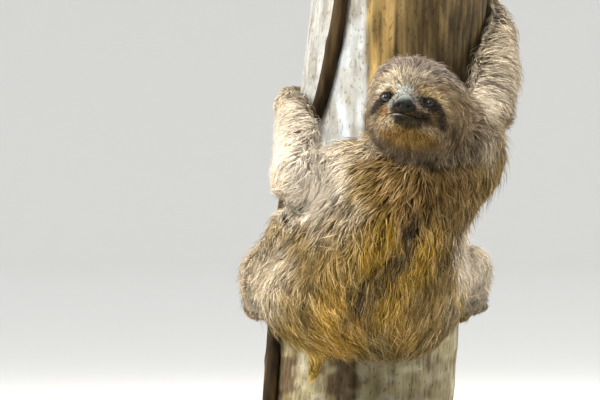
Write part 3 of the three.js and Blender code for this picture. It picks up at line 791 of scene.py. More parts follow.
def nearest_nodes(points):
    """The name of the node of flesh whose solid lies nearest to each place."""
    places, owners = [], []
    for name in flesh_nodes():
        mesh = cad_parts[name].data
        places += [v.co / MM for v in mesh.vertices] + [p.center / MM for p in mesh.polygons]
        owners += [name] * (len(places) - len(owners))
    return np.array(owners)[nearest_places(places, points)]


def face_share(points):
    """1 on the short-haired face, falling to 0 on the rest of the head."""
    left, up, forward = to_head(points).T
    ring = np.hypot(left / 44, (up + 18) / 33)
    return (1 - ramp(ring, 0.62, 1.2)) * ramp(forward, 8, 30)


def from_eye(places):
    """How far places of the head are from the nearer eye's middle, as seen from the front."""
    return np.hypot(np.abs(places[:, 0]) - EYE_OUT, places[:, 1] - EYE_UP)


def mouth_side(places):
    """How far places of the head are from the middle of the mouth, along its line."""
    return places[:, 0] - MOUTH_SIDE


def mouth_rise(places):
    """How far places of the head are above the line of the mouth."""
    return places[:, 1] - MOUTH_UP - MOUTH_SMILE * (mouth_side(places) / MOUTH_OUT) ** 2


def sculpt_face(points):
    """Lips, the line of the mouth, brows and the hollows behind the eyes."""
    places = to_head(points)
    left, up, forward = places.T
    front = ramp(forward, 24, 34)
    rise = mouth_rise(places)
    along = np.abs(mouth_side(places))
    within = (1 - ramp(along, MOUTH_OUT - 3, MOUTH_OUT + 2)) * front
    push = (0.9 * bell((rise - 2.8) / 2.0) + 1.0 * bell((rise + 2.8) / 2.2)) * within  # lips
    push -= 2.0 * bell(rise / 0.9) * within
    push -= 1.2 * bell(np.hypot(along - MOUTH_OUT, rise) / 2.6) * front
    push -= 0.8 * bell(left / 0.8) * ramp(rise, 0, 2) * (1 - ramp(rise, 4, 7)) * front
    for middle, half, proud in SWELLINGS:
        beside = (np.abs(left) - middle[0]) / half[0]
        push += proud * bell(np.hypot(beside, (up - middle[1]) / half[1])) * front
    rim = np.hypot((left - NOSE_AT[0]) / 12.4, (up - NOSE_AT[1]) / 11)
    push += 2.2 * bell((rim - 1) / 0.35) * front  # the skin round the nose
    places[:, 2] += push
    hole = (1 - ramp(from_eye(places), EYE_RADIUS, EYE_RADIUS + 2)) * front
    places[:, 2] -= hole * np.maximum(places[:, 2] - EYE_FORWARD + 1.0, 0)
    return from_head(places)


def coat_sizes(points, names):
    """The coat's depth, and its tufts' length and width, at places on nodes of flesh."""
    sizes = np.array([COAT[part_of(name)] for name in names])
    return toward(sizes, FACE_COAT, face_share(points))


def skin_arrays():
    """The skin inside the coat: its vertices and triangles."""
    points, quads = joined_solids()
    edges = edges_of(quads)
    points = smoothed(points, edges, 10)
    triangles = np.concatenate([quads[:, [0, 1, 2]], quads[:, [0, 2, 3]]])
    depth = coat_sizes(points, nearest_nodes(points))[:, 0]
    close, _ = off_bark(points)
    depth = BARK_DEPTH + (depth - BARK_DEPTH) * ramp(close, 4, 16)
    depth = smoothed(depth, edges, 8)
    normals = unit(smoothed(normals_of(points, triangles), edges, 3))
    points = smoothed(points - normals * (depth + GROW)[:, None], edges, 3)
    return refined_face(points, quads)


def in_face_box(points, margin):
    """Whether places lie in the box that holds the face, made larger by a margin."""
    left, up, forward = to_head(points).T
    return (np.abs(left) < 42 + margin) & (np.abs(up + 13) < 35 + margin) & (forward > 14 - margin)


def refined_face(points, quads):
    """The skin as triangles, with the face's faces split small enough for its folds."""
    fine = bmesh.new()
    corners = [fine.verts.new(point) for point in points]
    for quad in quads:
        fine.faces.new([corners[n] for n in quad])
    zone = in_face_box(points, 0)
    fine.verts.index_update()
    sides = [e for e in fine.edges if all(zone[v.index] for v in e.verts)]
    bmesh.ops.subdivide_edges(fine, edges=sides, cuts=2, use_grid_fill=True)
    bmesh.ops.triangulate(fine, faces=fine.faces)
    fine.verts.index_update()
    points = np.array([v.co for v in fine.verts])
    triangles = np.array([[v.index for v in f.verts] for f in fine.faces])
    fine.free()
    near = in_face_box(points, 4)[:, None]
    points = np.where(near, smoothed(points, edges_of(triangles), 6), points)
    return np.where(near, sculpt_face(points), points), triangles


class Skin:
    """The skin's arrays, with what the coat needs to know at each vertex or triangle."""

    def __init__(self):
        self.points, self.triangles = skin_arrays()
        self.normals = normals_of(self.points, self.triangles)
        self.edges = edges_of(self.triangles)
        self.names = nearest_nodes(self.points)
        is_head = np.array([name == "head" for name in self.names], float)
        self.on_head = smoothed(is_head, self.edges, 4)
        self.face = face_share(self.points)
        self.depth, self.length, self.width = coat_sizes(self.points, self.names).T
        from_nose = np.linalg.norm(to_head(self.points) - NOSE_AT, axis=1)
        self.length *= 1 + self.face * (ramp(from_nose, 13, 44) - 0.38)
        close, _ = off_bark(self.points)
        self.free = ramp(close, 3, 12)  # 0 where the trunk presses the coat flat
        self.depth = BARK_DEPTH + (self.depth - BARK_DEPTH) * self.free
        self.depth = smoothed(self.depth, self.edges, 10)
        self.length = smoothed(self.length, self.edges, 10)
        flow = toward(body_flow(self.points), head_flow(self.points), self.on_head)
        sway = 0.45 * noise(self.points, 34, 11)[:, None] * np.cross(self.normals, flow)
        self.flow = self.along_skin(unit(smoothed(flow + sway, self.edges, 6)))
        self.area = np.linalg.norm(face_normals(self.points, self.triangles), axis=1) / 2
        self.tree = BVHTree.FromPolygons(self.points.tolist(), self.triangles.tolist())

    def along_skin(self, ways):
        return unit(ways - dot(ways, self.normals)[:, None] * self.normals)

    def nearest(self, points):
        """The nearest places on the skin, and the triangles that hold them."""
        places = np.empty((len(points), 3))
        index = np.empty(len(points), int)
        find = self.tree.find_nearest
        for n, point in enumerate(points.tolist()):
            place, _, found, _ = find(point)
            places[n] = place
            index[n] = found
        return places, index

    def at(self, values, index):
        """Values of vertices, as the mean over the corners of triangles."""
        return values[self.triangles[index]].mean(axis=1)


def unwrap(piece):
    """Unwraps a mesh by its own shape onto a map named OFBake, and returns the map."""
    piece.data.uv_layers.new(name="OFBake")
    bpy.context.view_layer.objects.active = piece
    piece.select_set(True)
    bpy.ops.object.mode_set(mode="EDIT")
    bpy.ops.mesh.select_all(action="SELECT")
    bpy.ops.uv.smart_project(angle_limit=math.radians(70), island_margin=0.002)
    bpy.ops.object.mode_set(mode="OBJECT")
    piece.select_set(False)
    flat = np.empty(len(piece.data.loops) * 2)
    piece.data.uv_layers["OFBake"].data.foreach_get("uv", flat)
    return flat.reshape(-1, 3, 2)


def add_skin(skin):
    """The skin as a piece in the place of every node of flesh."""
    piece = mesh_object("skin", skin.points, skin.triangles)
    colours = markings(skin.points, skin.on_head)
    places = to_head(skin.points)
    hairy = 1 - ramp(skin.face, 0.9, 1.0) * ramp(places[:, 2], 40, 52)
    along = np.abs(mouth_side(places))
    within = (1 - ramp(along, MOUTH_OUT - 1, MOUTH_OUT + 3)) * ramp(places[:, 2], 24, 34)
    rise = mouth_rise(places)
    colours *= (1 - 0.5 * hairy)[:, None]
    colours = toward(colours, 0.3 * np.array(MUZZLE), 0.9 * bell(rise / 2.4) * within)
    # Painted highlight on the lower lip, on its side at the camera's left.
    shine = bell(np.hypot((places[:, 0] + 7) / 4.5, (rise + 1.9) / 0.8)) * within
    colours = toward(colours, LIP_HIGHLIGHT, 0.9 * shine)
    # Painted shade along the line of the mouth.
    colours *= (1 - 0.9 * bell(rise / 0.7) * within)[:, None]
    set_colours(piece, colours)
    keep(piece, "coat", skin_finish("skin"), *flesh_nodes())
    return unwrap(piece)


# ---------------------------------------------------------------- tufts
# For each piece of the coat: the nodes that it grows on, and how many tufts it has.
TUFTED = {
    "fur_face_left": (("head",), 12500),
    "fur_face_right": (("head",), 12500),
    "fur_crown": (("head",), 12500),
    "fur_neck": (("neck",), 9500),
    "fur_back_top": (("torso",), 18500),
    "fur_back_middle": (("torso",), 18500),
    "fur_back_low": (("torso", "tail"), 19500),
    "fur_arm_left": (("upper_arm_left", "forearm_left"), 10500),
    "fur_arm_right": (("upper_arm_right", "forearm_right"), 11500),
    "fur_leg_left": (("thigh_left", "shin_left"), 10000),
    "fur_leg_right": (("thigh_right", "shin_right"), 8500),
    "fur_paws": (("hand_left", "hand_right", "foot_left", "foot_right"), 5000),
}
BACK_BANDS = {"fur_back_top": (245, 999), "fur_back_middle": (180, 245), "fur_back_low": (0, 180)}
BARE_NOSE = 0.86  # no tuft grows nearer to the nose than this share of its size
BARE_EYE = 5.2  # or nearer to an eye's middle than this
BARE_LIPS = (-1.9, 1.2)  # or between these heights over the line of the mouth
STRAY = 0.10  # the share of thin hairs that stand off the coat
# The short under tufts are darker: partly the underfur's own colour and partly painted shade
# between the locks.
UNDER = 0.42  # the share of short dark tufts that show between the locks
LOCK_SIZE, FACE_LOCK_SIZE = 10, 6  # how many tufts draw together
LOCK_PULL, FACE_LOCK_PULL = 0.55, 0.35  # and how far they do so
CLUMP_SIZE = 75  # how many share a looser, wider clump
LENGTHS, WIDTHS = (0.7, 1.25), (0.7, 1.3)  # shares of what the skin states
HEIGHTS, UNDER_HEIGHTS, STRAY_HEIGHTS = (0.6, 1.05), (0.2, 0.6), (0.1, 0.5)  # of the depth
LOCK_TURN, CLUMP_TURN, OWN_TURN = 0.22, 0.14, 0.18  # how far tufts turn aside, in radians
BLUR, FACE_BLUR = 2.2, 0.4  # how far off the places lie where tufts take their colours
LOCK_SHADE, CLUMP_SHADE, OWN_SHADE = 0.28, 0.16, 0.50  # how much their shades differ
# Each tuft runs from dark at its root to light at its tip: the dark roots are partly the hair's own
# darker base and partly painted shade deep in the coat.
ROOT_SHADE, TIP_SHADE = 0.24, 1.26
ROOT_DEPTH = 0.8  # how far under the skin a tuft starts
STEPS = 2  # how many lengths a tuft has
SECTION = np.array([[1.0, 0.0], [-0.55, 0.62], [-0.55, -0.62]])  # a tuft's three corners
SWELL = np.array([0.75, 1.0])  # its width at each stop before the tip
BARK_GAP = 1.0  # how far the tufts keep off the bark


def growth(skin, name, nodes):
    """How thickly tufts grow on each triangle of the skin."""
    centres = skin.points[skin.triangles].mean(axis=1)
    places = to_head(centres)
    dense = skin.area * np.isin(skin.names[skin.triangles[:, 0]], nodes)
    dense *= 0.25 + 0.75 * skin.at(skin.free, np.arange(len(dense)))
    if name in BACK_BANDS:
        low, high = BACK_BANDS[name]
        dense *= (centres[:, 2] >= low) & (centres[:, 2] < high)
    face = skin.at(skin.face, np.arange(len(dense)))
    if name.startswith("fur_face"):
        dense *= ramp(face, 0.12, 0.3) * ((places[:, 0] > 0) == name.endswith("left"))
    if name == "fur_crown":
        dense *= 1 - ramp(face, 0.2, 0.45)
    nose = np.linalg.norm((places - NOSE_AT) / (NOSE_HALF + 1.0), axis=1)
    nose += 0.16 * ramp(places[:, 1] - NOSE_AT[1], 2, 8)
    ahead = places[:, 2] > 20
    rise = mouth_rise(places)
    lips = (rise > BARE_LIPS[0]) & (rise < BARE_LIPS[1])
    lips &= np.abs(mouth_side(places)) < MOUTH_OUT
    dense[(nose < BARE_NOSE) | (ahead & ((from_eye(places) < BARE_EYE) | lips))] = 0
    return dense


def plant(skin, name, nodes, count, skin_map):
    """Roots of tufts: places, triangles and places on the unwrapped skin."""
    dense = growth(skin, name, nodes)
    index = rng.choice(len(dense), count, p=dense / dense.sum())
    first, second = rng.random((2, count))
    over = first + second > 1
    first[over], second[over] = 1 - first[over], 1 - second[over]
    share = np.stack([1 - first - second, first, second], axis=1)[:, :, None]
    roots = np.sum(skin.points[skin.triangles[index]] * share, axis=1)
    return roots, index, np.sum(skin_map[index] * share, axis=1)


def lay_tufts(skin, roots, index, lengths, heights, turns):
    """The lines of tufts that follow the skin, and the outward direction at each stop."""
    outward = [skin.at(skin.normals, index)]
    stops = [roots - ROOT_DEPTH * outward[0]]
    place = roots
    for step in range(1, STEPS + 1):
        out = outward[-1]
        way = skin.at(skin.flow, index)
        way = unit(way - dot(way, out)[:, None] * out)
        turn = turns * (0.6 + 0.4 * step / STEPS)
        way = np.cos(turn)[:, None] * way + np.sin(turn)[:, None] * np.cross(out, way)
        place, index = skin.nearest(place + way * (lengths / STEPS)[:, None])
        out = skin.at(skin.normals, index)
        rise = (step / STEPS) ** 0.6
        stops.append(place + out * (heights * skin.at(skin.depth, index) * rise)[:, None])
        outward.append(out)
    return np.stack(stops, axis=1), np.stack(outward, axis=1)


def gather(stops, groups, pull):
    """Draws the tips of tufts that share a lock towards its middle, each by its own pull."""
    count = groups.max() + 1
    members = np.maximum(np.bincount(groups, minlength=count), 1)[:, None]
    result = stops.copy()
    last = stops.shape[1] - 1
    for n in range(1, last + 1):
        middle = corner_sum(count, groups, stops[:, n]) / members
        share = pull * (n / last) ** 1.3
        result[:, n] += share[:, None] * (middle[groups] - stops[:, n])
    return result


def lock_of(roots, size):
    """The number of the lock that each root belongs to, in locks of about that many."""
    centres = roots[rng.choice(len(roots), max(len(roots) // size, 1), replace=False)]
    return nearest_places(centres, roots)


def drawn(spread, groups):
    """One random value for each group, given to all its members."""
    return rng.normal(0, spread, groups.max() + 1)[groups]


def tuft_faces():
    """The triangles of one tuft: its root, its sides and its tip."""
    faces = [[0, 2, 1]]
    for n in range(STEPS - 1):
        for s in range(3):
            a, b = 3 * n + s, 3 * n + (s + 1) % 3
            faces += [[a, b, b + 3], [a, b + 3, a + 3]]
    low = 3 * (STEPS - 1)
    faces += [[low + s, low + (s + 1) % 3, low + 3] for s in range(3)]
    return np.array(faces)


def tuft_mesh(name, stops, outward, widths, colours, places, pale):
    """All tufts of a piece as closed three-sided locks, with their colours and map."""
    count = len(stops)
    ahead = unit(np.gradient(stops, axis=1))
    side = unit(np.cross(ahead, outward))
    lift = np.cross(side, ahead)
    roll = rng.uniform(-0.9, 0.9, count)
    flat = np.cos(roll)[:, None, None] * side + np.sin(roll)[:, None, None] * lift
    thick = np.cos(roll)[:, None, None] * lift - np.sin(roll)[:, None, None] * side
    half = widths[:, None] / 2 * SWELL
    rings = stops[:, :STEPS, None, :] + half[:, :, None, None] * (
        SECTION[:, 0, None] * flat[:, :STEPS, None, :]
        + SECTION[:, 1, None] * thick[:, :STEPS, None, :]
    )
    corners = np.concatenate([rings.reshape(count, -1, 3), stops[:, -1:]], axis=1)
    first = corners.shape[1] * np.arange(count)[:, None, None]
    faces = (tuft_faces() + first).reshape(-1, 3)
    piece = mesh_object(name, corners.reshape(-1, 3), faces)
    along = np.append(np.repeat(np.arange(STEPS) / STEPS, 3), 1.0)
    # Dark roots, partly painted shade deep in the coat; pale hair has lighter roots.
    root = ROOT_SHADE + 0.28 * pale[:, None]
    shade = root + (TIP_SHADE - root) * along
    of_stop = np.append(np.repeat(np.arange(STEPS), 3), STEPS)
    set_colours(piece, (colours[:, of_stop] * shade[:, :, None]).reshape(-1, 3))
    across = np.append(np.tile([0.0, 1.0, 0.5], STEPS), 0.5)
    patch = (np.stack([across, along], axis=1) - 0.5) * PATCH
    where = np.clip(places[:, None] + patch[None], 0, 1).reshape(-1, 2)
    layer = piece.data.uv_layers.new(name="OFBake")
    layer.data.foreach_set("uv", where[faces.ravel()].ravel())
    return piece


def shades_of(under, pale, lock, clump):
    """How light each tuft is: each clump, lock and tuft has its shade, and a few are pale."""
    own = np.exp(rng.normal(0.02, OWN_SHADE, len(under)) * (1 - 0.7 * pale))
    # The under tufts are darker, partly as painted shade between the locks, and less so in pale
    # hair.
    own *= np.where(under, 0.38 + 0.44 * pale, 1.0)
    own *= np.where(rng.random(len(under)) < 0.10, 1.35, 1.0)
    calm = 1 - 0.6 * pale
    own *= 1 + drawn(LOCK_SHADE, lock) * calm
    own *= 1 + drawn(CLUMP_SHADE, clump) * calm
    return np.clip(own, 0.12, 2.4)


def shaded(colours, shade):
    """Colours made lighter or darker, with less hue in the light hairs as they bleach."""
    lit = colours * shade[:, None, None]
    beige = lit.mean(axis=2, keepdims=True) * np.array([1.16, 1.0, 0.80])
    bleach = 0.37 * ramp(shade, 0.9, 2.0)[:, None, None]
    return lit + bleach * (beige - lit)


def add_coat(skin, skin_map, finish):
    """Every piece of the coat, made one after another from the same rules."""
    for name, (nodes, count) in TUFTED.items():
        on_face = name.startswith("fur_face")
        roots, index, places = plant(skin, name, nodes, count, skin_map)
        stray = rng.random(count) < STRAY
        under = (rng.random(count) < UNDER) & ~stray
        lengths = skin.at(skin.length, index) * rng.uniform(*LENGTHS, count)
        low = rng.uniform(*UNDER_HEIGHTS, count)
        heights = np.where(under, low, rng.uniform(*HEIGHTS, count))
        heights += stray * rng.uniform(*STRAY_HEIGHTS, count)
        lock = lock_of(roots, FACE_LOCK_SIZE if on_face else LOCK_SIZE)
        clump = lock_of(roots, CLUMP_SIZE)
        turns = drawn(LOCK_TURN, lock) + drawn(CLUMP_TURN, clump)
        turns += rng.normal(0, OWN_TURN, count) * (1 + 1.2 * stray)
        stops, outward = lay_tufts(skin, roots, index, lengths, heights, turns)
        if not on_face:
            tousled = 0.10 + 0.36 * ramp(noise(roots, 38, 61), -0.4, 0.6)
            stops = gather(stops, clump, tousled * (1 - stray))
        stops = gather(stops, lock, (FACE_LOCK_PULL if on_face else LOCK_PULL) * (1 - stray))
        close, out = off_bark(stops.reshape(-1, 3))
        stops += (np.maximum(BARK_GAP - close, 0)[:, None] * out).reshape(stops.shape)
        blur = FACE_BLUR if on_face else BLUR
        shift = rng.normal(0, blur, (lock.max() + 1, 3))[lock] + rng.normal(0, blur, (count, 3))
        on_head = np.repeat(skin.at(skin.on_head, index), STEPS + 1)
        colours = markings((stops + shift[:, None]).reshape(-1, 3), on_head).reshape(stops.shape)
        pale = ramp(colours.mean(axis=(1, 2)), 0.25, 0.60)
        colours = shaded(colours, shades_of(under, pale, lock, clump))
        widths = skin.at(skin.width, index) * rng.uniform(*WIDTHS, count) * (1 - 0.5 * stray)
        piece = tuft_mesh(name, stops, outward, widths, colours, places, pale)
        keep(piece, "face" if on_face else "coat", finish)


# ---------------------------------------------------------------- the face's own pieces
# Linear colours.
IRIS = (0.016, 0.010, 0.006)
EYE_DARK = (0.008, 0.006, 0.005)
LID_DARK = (0.008, 0.006, 0.004)
NOSE_DARK = (0.010, 0.009, 0.006)
# Partly the nose's own paler top and partly a painted highlight.
NOSE_PALE_AND_HIGHLIGHT = (0.215, 0.240, 0.225)  # what the nose gains where it is pale
EAR_BROWN = (0.130, 0.092, 0.060)
EAR_HALF, EAR_THICK, EAR_SUNK = (7.2, 5.4), 1.5, 5.4
EYE_OPENING = 4.35  # mean radius of the opening between the lids
# The lids: how much wider than the opening each ring is, and how far from the eye's middle.
LID_ROWS = [(-0.35, 5.5), (0.0, 5.85), (0.4, 6.15), (0.9, 6.2), (1.5, 6.0), (2.1, 6.1)]
LID_SKIRT = [(3.2, 0.1), (4.6, 1.4)]  # rings that lie so deep under the skin instead


def ball(rows, columns):
    """Directions on a ball, with their angles from its front and round it."""
    polar, around = np.meshgrid(np.linspace(0, math.pi, rows), circle(columns), indexing="ij")
    polar, around = polar.ravel(), around.ravel()
    ring = np.sin(polar)
    ways = np.stack([ring * np.cos(around), ring * np.sin(around), np.cos(polar)], axis=1)
    return ways, polar, around


def add_eyes():
    """Eyeballs with a clear bulge, a brown iris and a dark pupil."""
    finish = eye_finish()
    rows, columns = 33, 48
    ways, polar, around = ball(rows, columns)
    bulge = EYE_RADIUS + 0.35 * bell(polar / 0.55)
    rays = 1 + 0.35 * np.sin(23 * around)
    iris = np.array([IRIS]) * rays[:, None] * (1 - ramp(polar, 0.62, 0.78))[:, None]
    colours = (iris + EYE_DARK) * ramp(polar, 0.30, 0.40)[:, None] + 0.002
    for name, side in (("left", 1), ("right", -1)):
        places = ways * bulge[:, None] + [side * EYE_OUT, EYE_UP, EYE_FORWARD]
        piece = mesh_object(f"eyeball_{name}", from_head(places), grid_faces(rows, columns))
        set_colours(piece, colours)
        keep(piece, "eye", finish, f"eye_{name}")


def add_lids(skin):
    """A fold of skin round each eye: a rounded rim, a crease and a skirt under the fur."""
    finish = skin_finish("lid_skin")
    count = 56
    around = circle(count)
    opening = EYE_OPENING * (1 + 0.10 * np.cos(2 * around) + 0.04 * np.cos(4 * around))
    flat = 0.90 - 0.06 * np.sin(around)
    ahead = 75.0  # in front of the whole face
    inward = Vector(-HEAD_AXES[2])

    def ring_of(wider):
        reach = opening + wider
        return np.stack([reach * np.cos(around), reach * np.sin(around) * flat], axis=1)

    for name, side in (("left", 1), ("right", -1)):
        rings = []
        for wider, radius in LID_ROWS:
            ring = ring_of(wider)
            spread = np.minimum(np.linalg.norm(ring, axis=1), radius * 0.98)
            ring = np.column_stack([ring, np.sqrt(radius**2 - spread**2)])
            rings.append(ring + [side * EYE_OUT, EYE_UP, EYE_FORWARD])
        for wider, sunk in LID_SKIRT:
            ring = ring_of(wider) + [side * EYE_OUT, EYE_UP]
            starts = from_head(np.column_stack([ring, np.full(count, ahead)]))
            reach = np.array([skin.tree.ray_cast(start, inward)[3] for start in starts.tolist()])
            rings.append(np.column_stack([ring, ahead - reach - sunk]))
        points = from_head(np.concatenate(rings))
        piece = mesh_object(f"eyelids_{name}", points, grid_faces(len(rings), count))
        rim = np.repeat(np.arange(len(rings)), count)
        # Painted reflection of the lamps in the tear film: a paler inner rim on the lower lid,
        # towards the camera's left, stronger on the eye at the camera's left.
        reflection_side = np.tile(0.2 - 0.6 * np.sin(around) - 0.4 * np.cos(around), len(rings))
        painted_reflection = np.clip((rim <= 1) * reflection_side, 0, 1) * (0.03 if side > 0 else 0.14)
        set_colours(piece, LID_DARK + painted_reflection[:, None])
        thick = piece.modifiers.new("thickness", "SOLIDIFY")
        thick.thickness = 0.3 * MM
        thick.offset = -1
        keep(piece, "face", finish)


def add_nose():
    """The bare nose: a broad pad with two nostrils and a notch below."""
    rows, columns = 49, 72
    places = ball(rows, columns)[0] * NOSE_HALF
    places[:, 0] *= 1 - 0.30 * ramp(places[:, 1], -2, 9)
    places[:, 2] *= 1 - 0.30 * ramp(places[:, 1], 1, 9)
    left, high = places[:, 0], places[:, 1]
    ahead = ramp(places[:, 2], 0, 3)
    nostril = np.hypot((np.abs(left) - 4.7) / 2.2, (high + 2.8 + 0.15 * np.abs(left)) / 1.6)
    wing = np.hypot((np.abs(left) - 5.6) / 3.6, (high + 1.4) / 3.4)
    notch = bell(left / 0.9) * ramp(-high, -1, 3)
    places[:, 2] += (0.8 * bell(wing) - 3.0 * bell(nostril) - 0.9 * notch) * ahead
    piece = mesh_object("nose_pad", from_head(places + NOSE_AT), grid_faces(rows, columns))
    # The pale top, tilted towards the camera's left where the lamps are, is partly the nose's own
    # colour and partly a painted highlight.
    pale = ramp(high - 0.30 * left + 0.9 * noise(places, 3.5, 51), -0.8, 8.0)[:, None]
    colours = np.array([NOSE_DARK]) + pale * np.array([NOSE_PALE_AND_HIGHLIGHT])
    # The nostrils are painted dark, as shade inside them.
    set_colours(piece, colours * (1 - 0.85 * bell(nostril))[:, None])
    keep(piece, "skin", nose_finish(), "nose")


def add_ears():
    """Small rounded ears, cupped forward, that lie almost buried in the coat."""
    finish = skin_finish("ear_skin")
    rows, columns = 15, 32
    share = np.linspace(0, 1, rows)[:, None]
    around = circle(columns)[None]
    reach = np.sin(share * math.pi / 2) ** 0.8
    height = EAR_HALF[0] * reach * np.sin(around)
    breadth = EAR_HALF[1] * reach * np.cos(around) * (1 - 0.15 * np.sin(around))
    cup = 1.9 * (1 - np.cos(share * math.pi / 2)) * (1 + 0.4 * np.cos(around))
    proud = 2.2 * cup * (1 - 0.35 * share**6) - EAR_SUNK
    for name, side in (("left", 1), ("right", -1)):
        low, high = box_of(f"ear_{name}")
        middle = to_head((low + high) / 2)
        front = np.stack([side * proud, height, breadth], axis=-1).reshape(-1, 3)
        back = front * [1, 0.94, 0.94] - [side * EAR_THICK, 0, 0]
        points = from_head(np.concatenate([front, back[::-1]]) + middle)
        piece = mesh_object(f"ear_flap_{name}", points, grid_faces(2 * rows, columns))
        set_colours(piece, np.tile(EAR_BROWN, (len(points), 1)))
        keep(piece, "skin", finish, f"ear_{name}")


# ---------------------------------------------------------------- claws
HORN_ROOT, HORN_TIP = (0.20, 0.14, 0.08), (0.52, 0.43, 0.28)  # linear colours
CLAW_TIP = 0.9  # radius


def add_claws():
    """Long hooks of horn that stand off the bark and meet it at their tips."""
    finish = claw_finish()
    steps = np.linspace(0, 1, 25)
    sides = 16
    for paw, (angle, z, turn, claw) in PAWS.items():
        sweep = turn * math.degrees(claw["length"] / (TRUNK_RADII[1] + 8))
        for number, finger in enumerate((-1, 0, 1), start=1):
            radius = claw["radius"] + (CLAW_TIP - claw["radius"]) * steps**1.3
            height = z + finger * claw["apart"] * (0.8 + 0.28 * steps)
            hump = claw["hump"] * np.sin(math.pi * (0.28 + 0.72 * steps))
            centres = on_trunk(angle + turn * 7 + sweep * steps, height, radius + 1.2 + hump)
            piece = tube(f"horn_{paw}_{number}", centres, radius, sides)
            along = np.append(np.repeat(steps, sides), [0, 1])
            set_colours(piece, toward(HORN_ROOT, HORN_TIP, along))
            keep(piece, "claw", finish, f"claw_{paw}_{number}")


# ---------------------------------------------------------------- trunk and vine
# Linear colours of the bark.
BARK_WHITE = (0.62, 0.665, 0.69)
BARK_GREY = (0.47, 0.46, 0.42)
BARK_WARM = (0.500, 0.345, 0.125)
BARK_BROWN = (0.26, 0.175, 0.068)
BARK_OLIVE = (0.086, 0.060, 0.024)
FOOT_GREEN = (0.250, 0.205, 0.085)
FOOT_BROWN = (0.129, 0.090, 0.036)
FOOT_TAN = (0.470, 0.4278, 0.315)
STAIN = (0.085, 0.048, 0.022)
BARK_EDGE_X = -13  # the upright edge between the whitish bark and the brown
# Dark brown stains near the foot: angle round the trunk, height, half sizes.
BARK_STAINS = [(257, 88, 10, 24), (213, 92, 10, 24), (246, 112, 8, 14)]
BARK_GROOVE = 0.955  # share of the trunk's radius where a groove parts the wood from the bark


def bark_relief(points):
    """Furrows on the brown side, and flakes and rings that stand out of the bark."""
    flakes = noise(points * [1, 1, 0.5], 16, 22)
    rings = np.sin(points[:, 2] / 6.0 + 2.2 * noise(points, 60, 23))
    return 1.3 * furrows(points) * (1 - white_share(points)) + 0.5 * flakes + 0.3 * rings**3


def trunk_angle(points):
    """How far round the trunk places are, in degrees."""
    return np.degrees(np.arctan2(points[:, 1], points[:, 0] - trunk_axis_x(points[:, 2]))) % 360


def furrows(points):
    """Wavy furrows that run up the bark, from -1 to 1."""
    wave = points + 5 * noise(points * [1, 1, 0.6], 34, 24)[:, None]
    return noise(wave * [1, 1, 0.10], 7, 21)


def white_share(points):
    """1 on the whitish side of the trunk and near its foot, 0 on the brown side."""
    white = ramp(trunk_angle(points), 120, 165) * (1 - ramp(bark_edge(points), -4, 3))
    return np.maximum(white, 1 - ramp(points[:, 2], 130, 220))


def bark_edge(points):
    """How far to the right of the upright edge between the two barks places are."""
    return points[:, 0] - BARK_EDGE_X + 3 * noise(points * [1, 1, 0.4], 24, 31)


def bark_colours(points):
    """Whitish on the left of the trunk, brown and olive on the right, patchy below."""
    angle = trunk_angle(points)
    patches = ramp(noise(points * [1, 1, 0.8], 12, 32), -0.15, 0.5)
    across = points[:, 0] - BARK_EDGE_X + 9 * noise(points * [1, 1, 0.3], 20, 36)
    across += 170 * ramp(points[:, 1], 0, 60)
    near_edge = 1 - ramp(across, 4, 30)
    side = toward(BARK_BROWN, BARK_WARM, near_edge)
    side = toward(side, BARK_OLIVE, ramp(across, 22, 56))
    side *= (1 - 0.4 * near_edge * (1 - ramp(points[:, 2], 405, 440)))[:, None]
    tone = 1 + 0.5 * noise(points * [1, 1, 0.35], 13, 35) + 0.85 * furrows(points)
    tone += 0.45 * noise(points * [1, 1, 0.12], 3.2, 40)
    side *= np.clip(tone, 0.2, 1.9)[:, None]
    pale = toward(BARK_WHITE, BARK_GREY, 0.8 * patches)
    # Painted shade: the bark at the trunk's far left edge, as the camera sees it, turns greyer and
    # darker.
    pale = toward(pale, BARK_GREY, 0.75 * (1 - ramp(angle, 205, 228)))
    pale *= (1 + 0.10 * noise(points, 5, 37) - 0.38 * (1 - ramp(angle, 208, 226)))[:, None]
    colours = toward(side, pale, white_share(points))
    foot = toward(FOOT_GREEN, FOOT_BROWN, 0.7 * patches)
    foot = toward(foot, FOOT_TAN, 0.4 * ramp(noise(points, 10, 38), 0.0, 0.6))
    foot *= (1 + 0.07 * np.sin(points[:, 2] / 3.1 + 5 * noise(points, 30, 39)))[:, None]
    colours = toward(colours, foot, 0.9 * (1 - ramp(points[:, 2], 120, 215)))
    for turn, height, wide, tall in BARK_STAINS:
        near = ((angle - turn) / wide) ** 2 + ((points[:, 2] - height) / tall) ** 2
        stain = 0.8 * (1 - ramp(near + 0.9 * noise(points, 7, 34), 0.4, 1.3))
        colours = toward(colours, STAIN, stain)
    crack = bell(bark_edge(points) / 2.4) * ramp(points[:, 2], 330, 380)
    crack *= points[:, 1] < 0
    return colours * (1 - 0.35 * crack)[:, None]


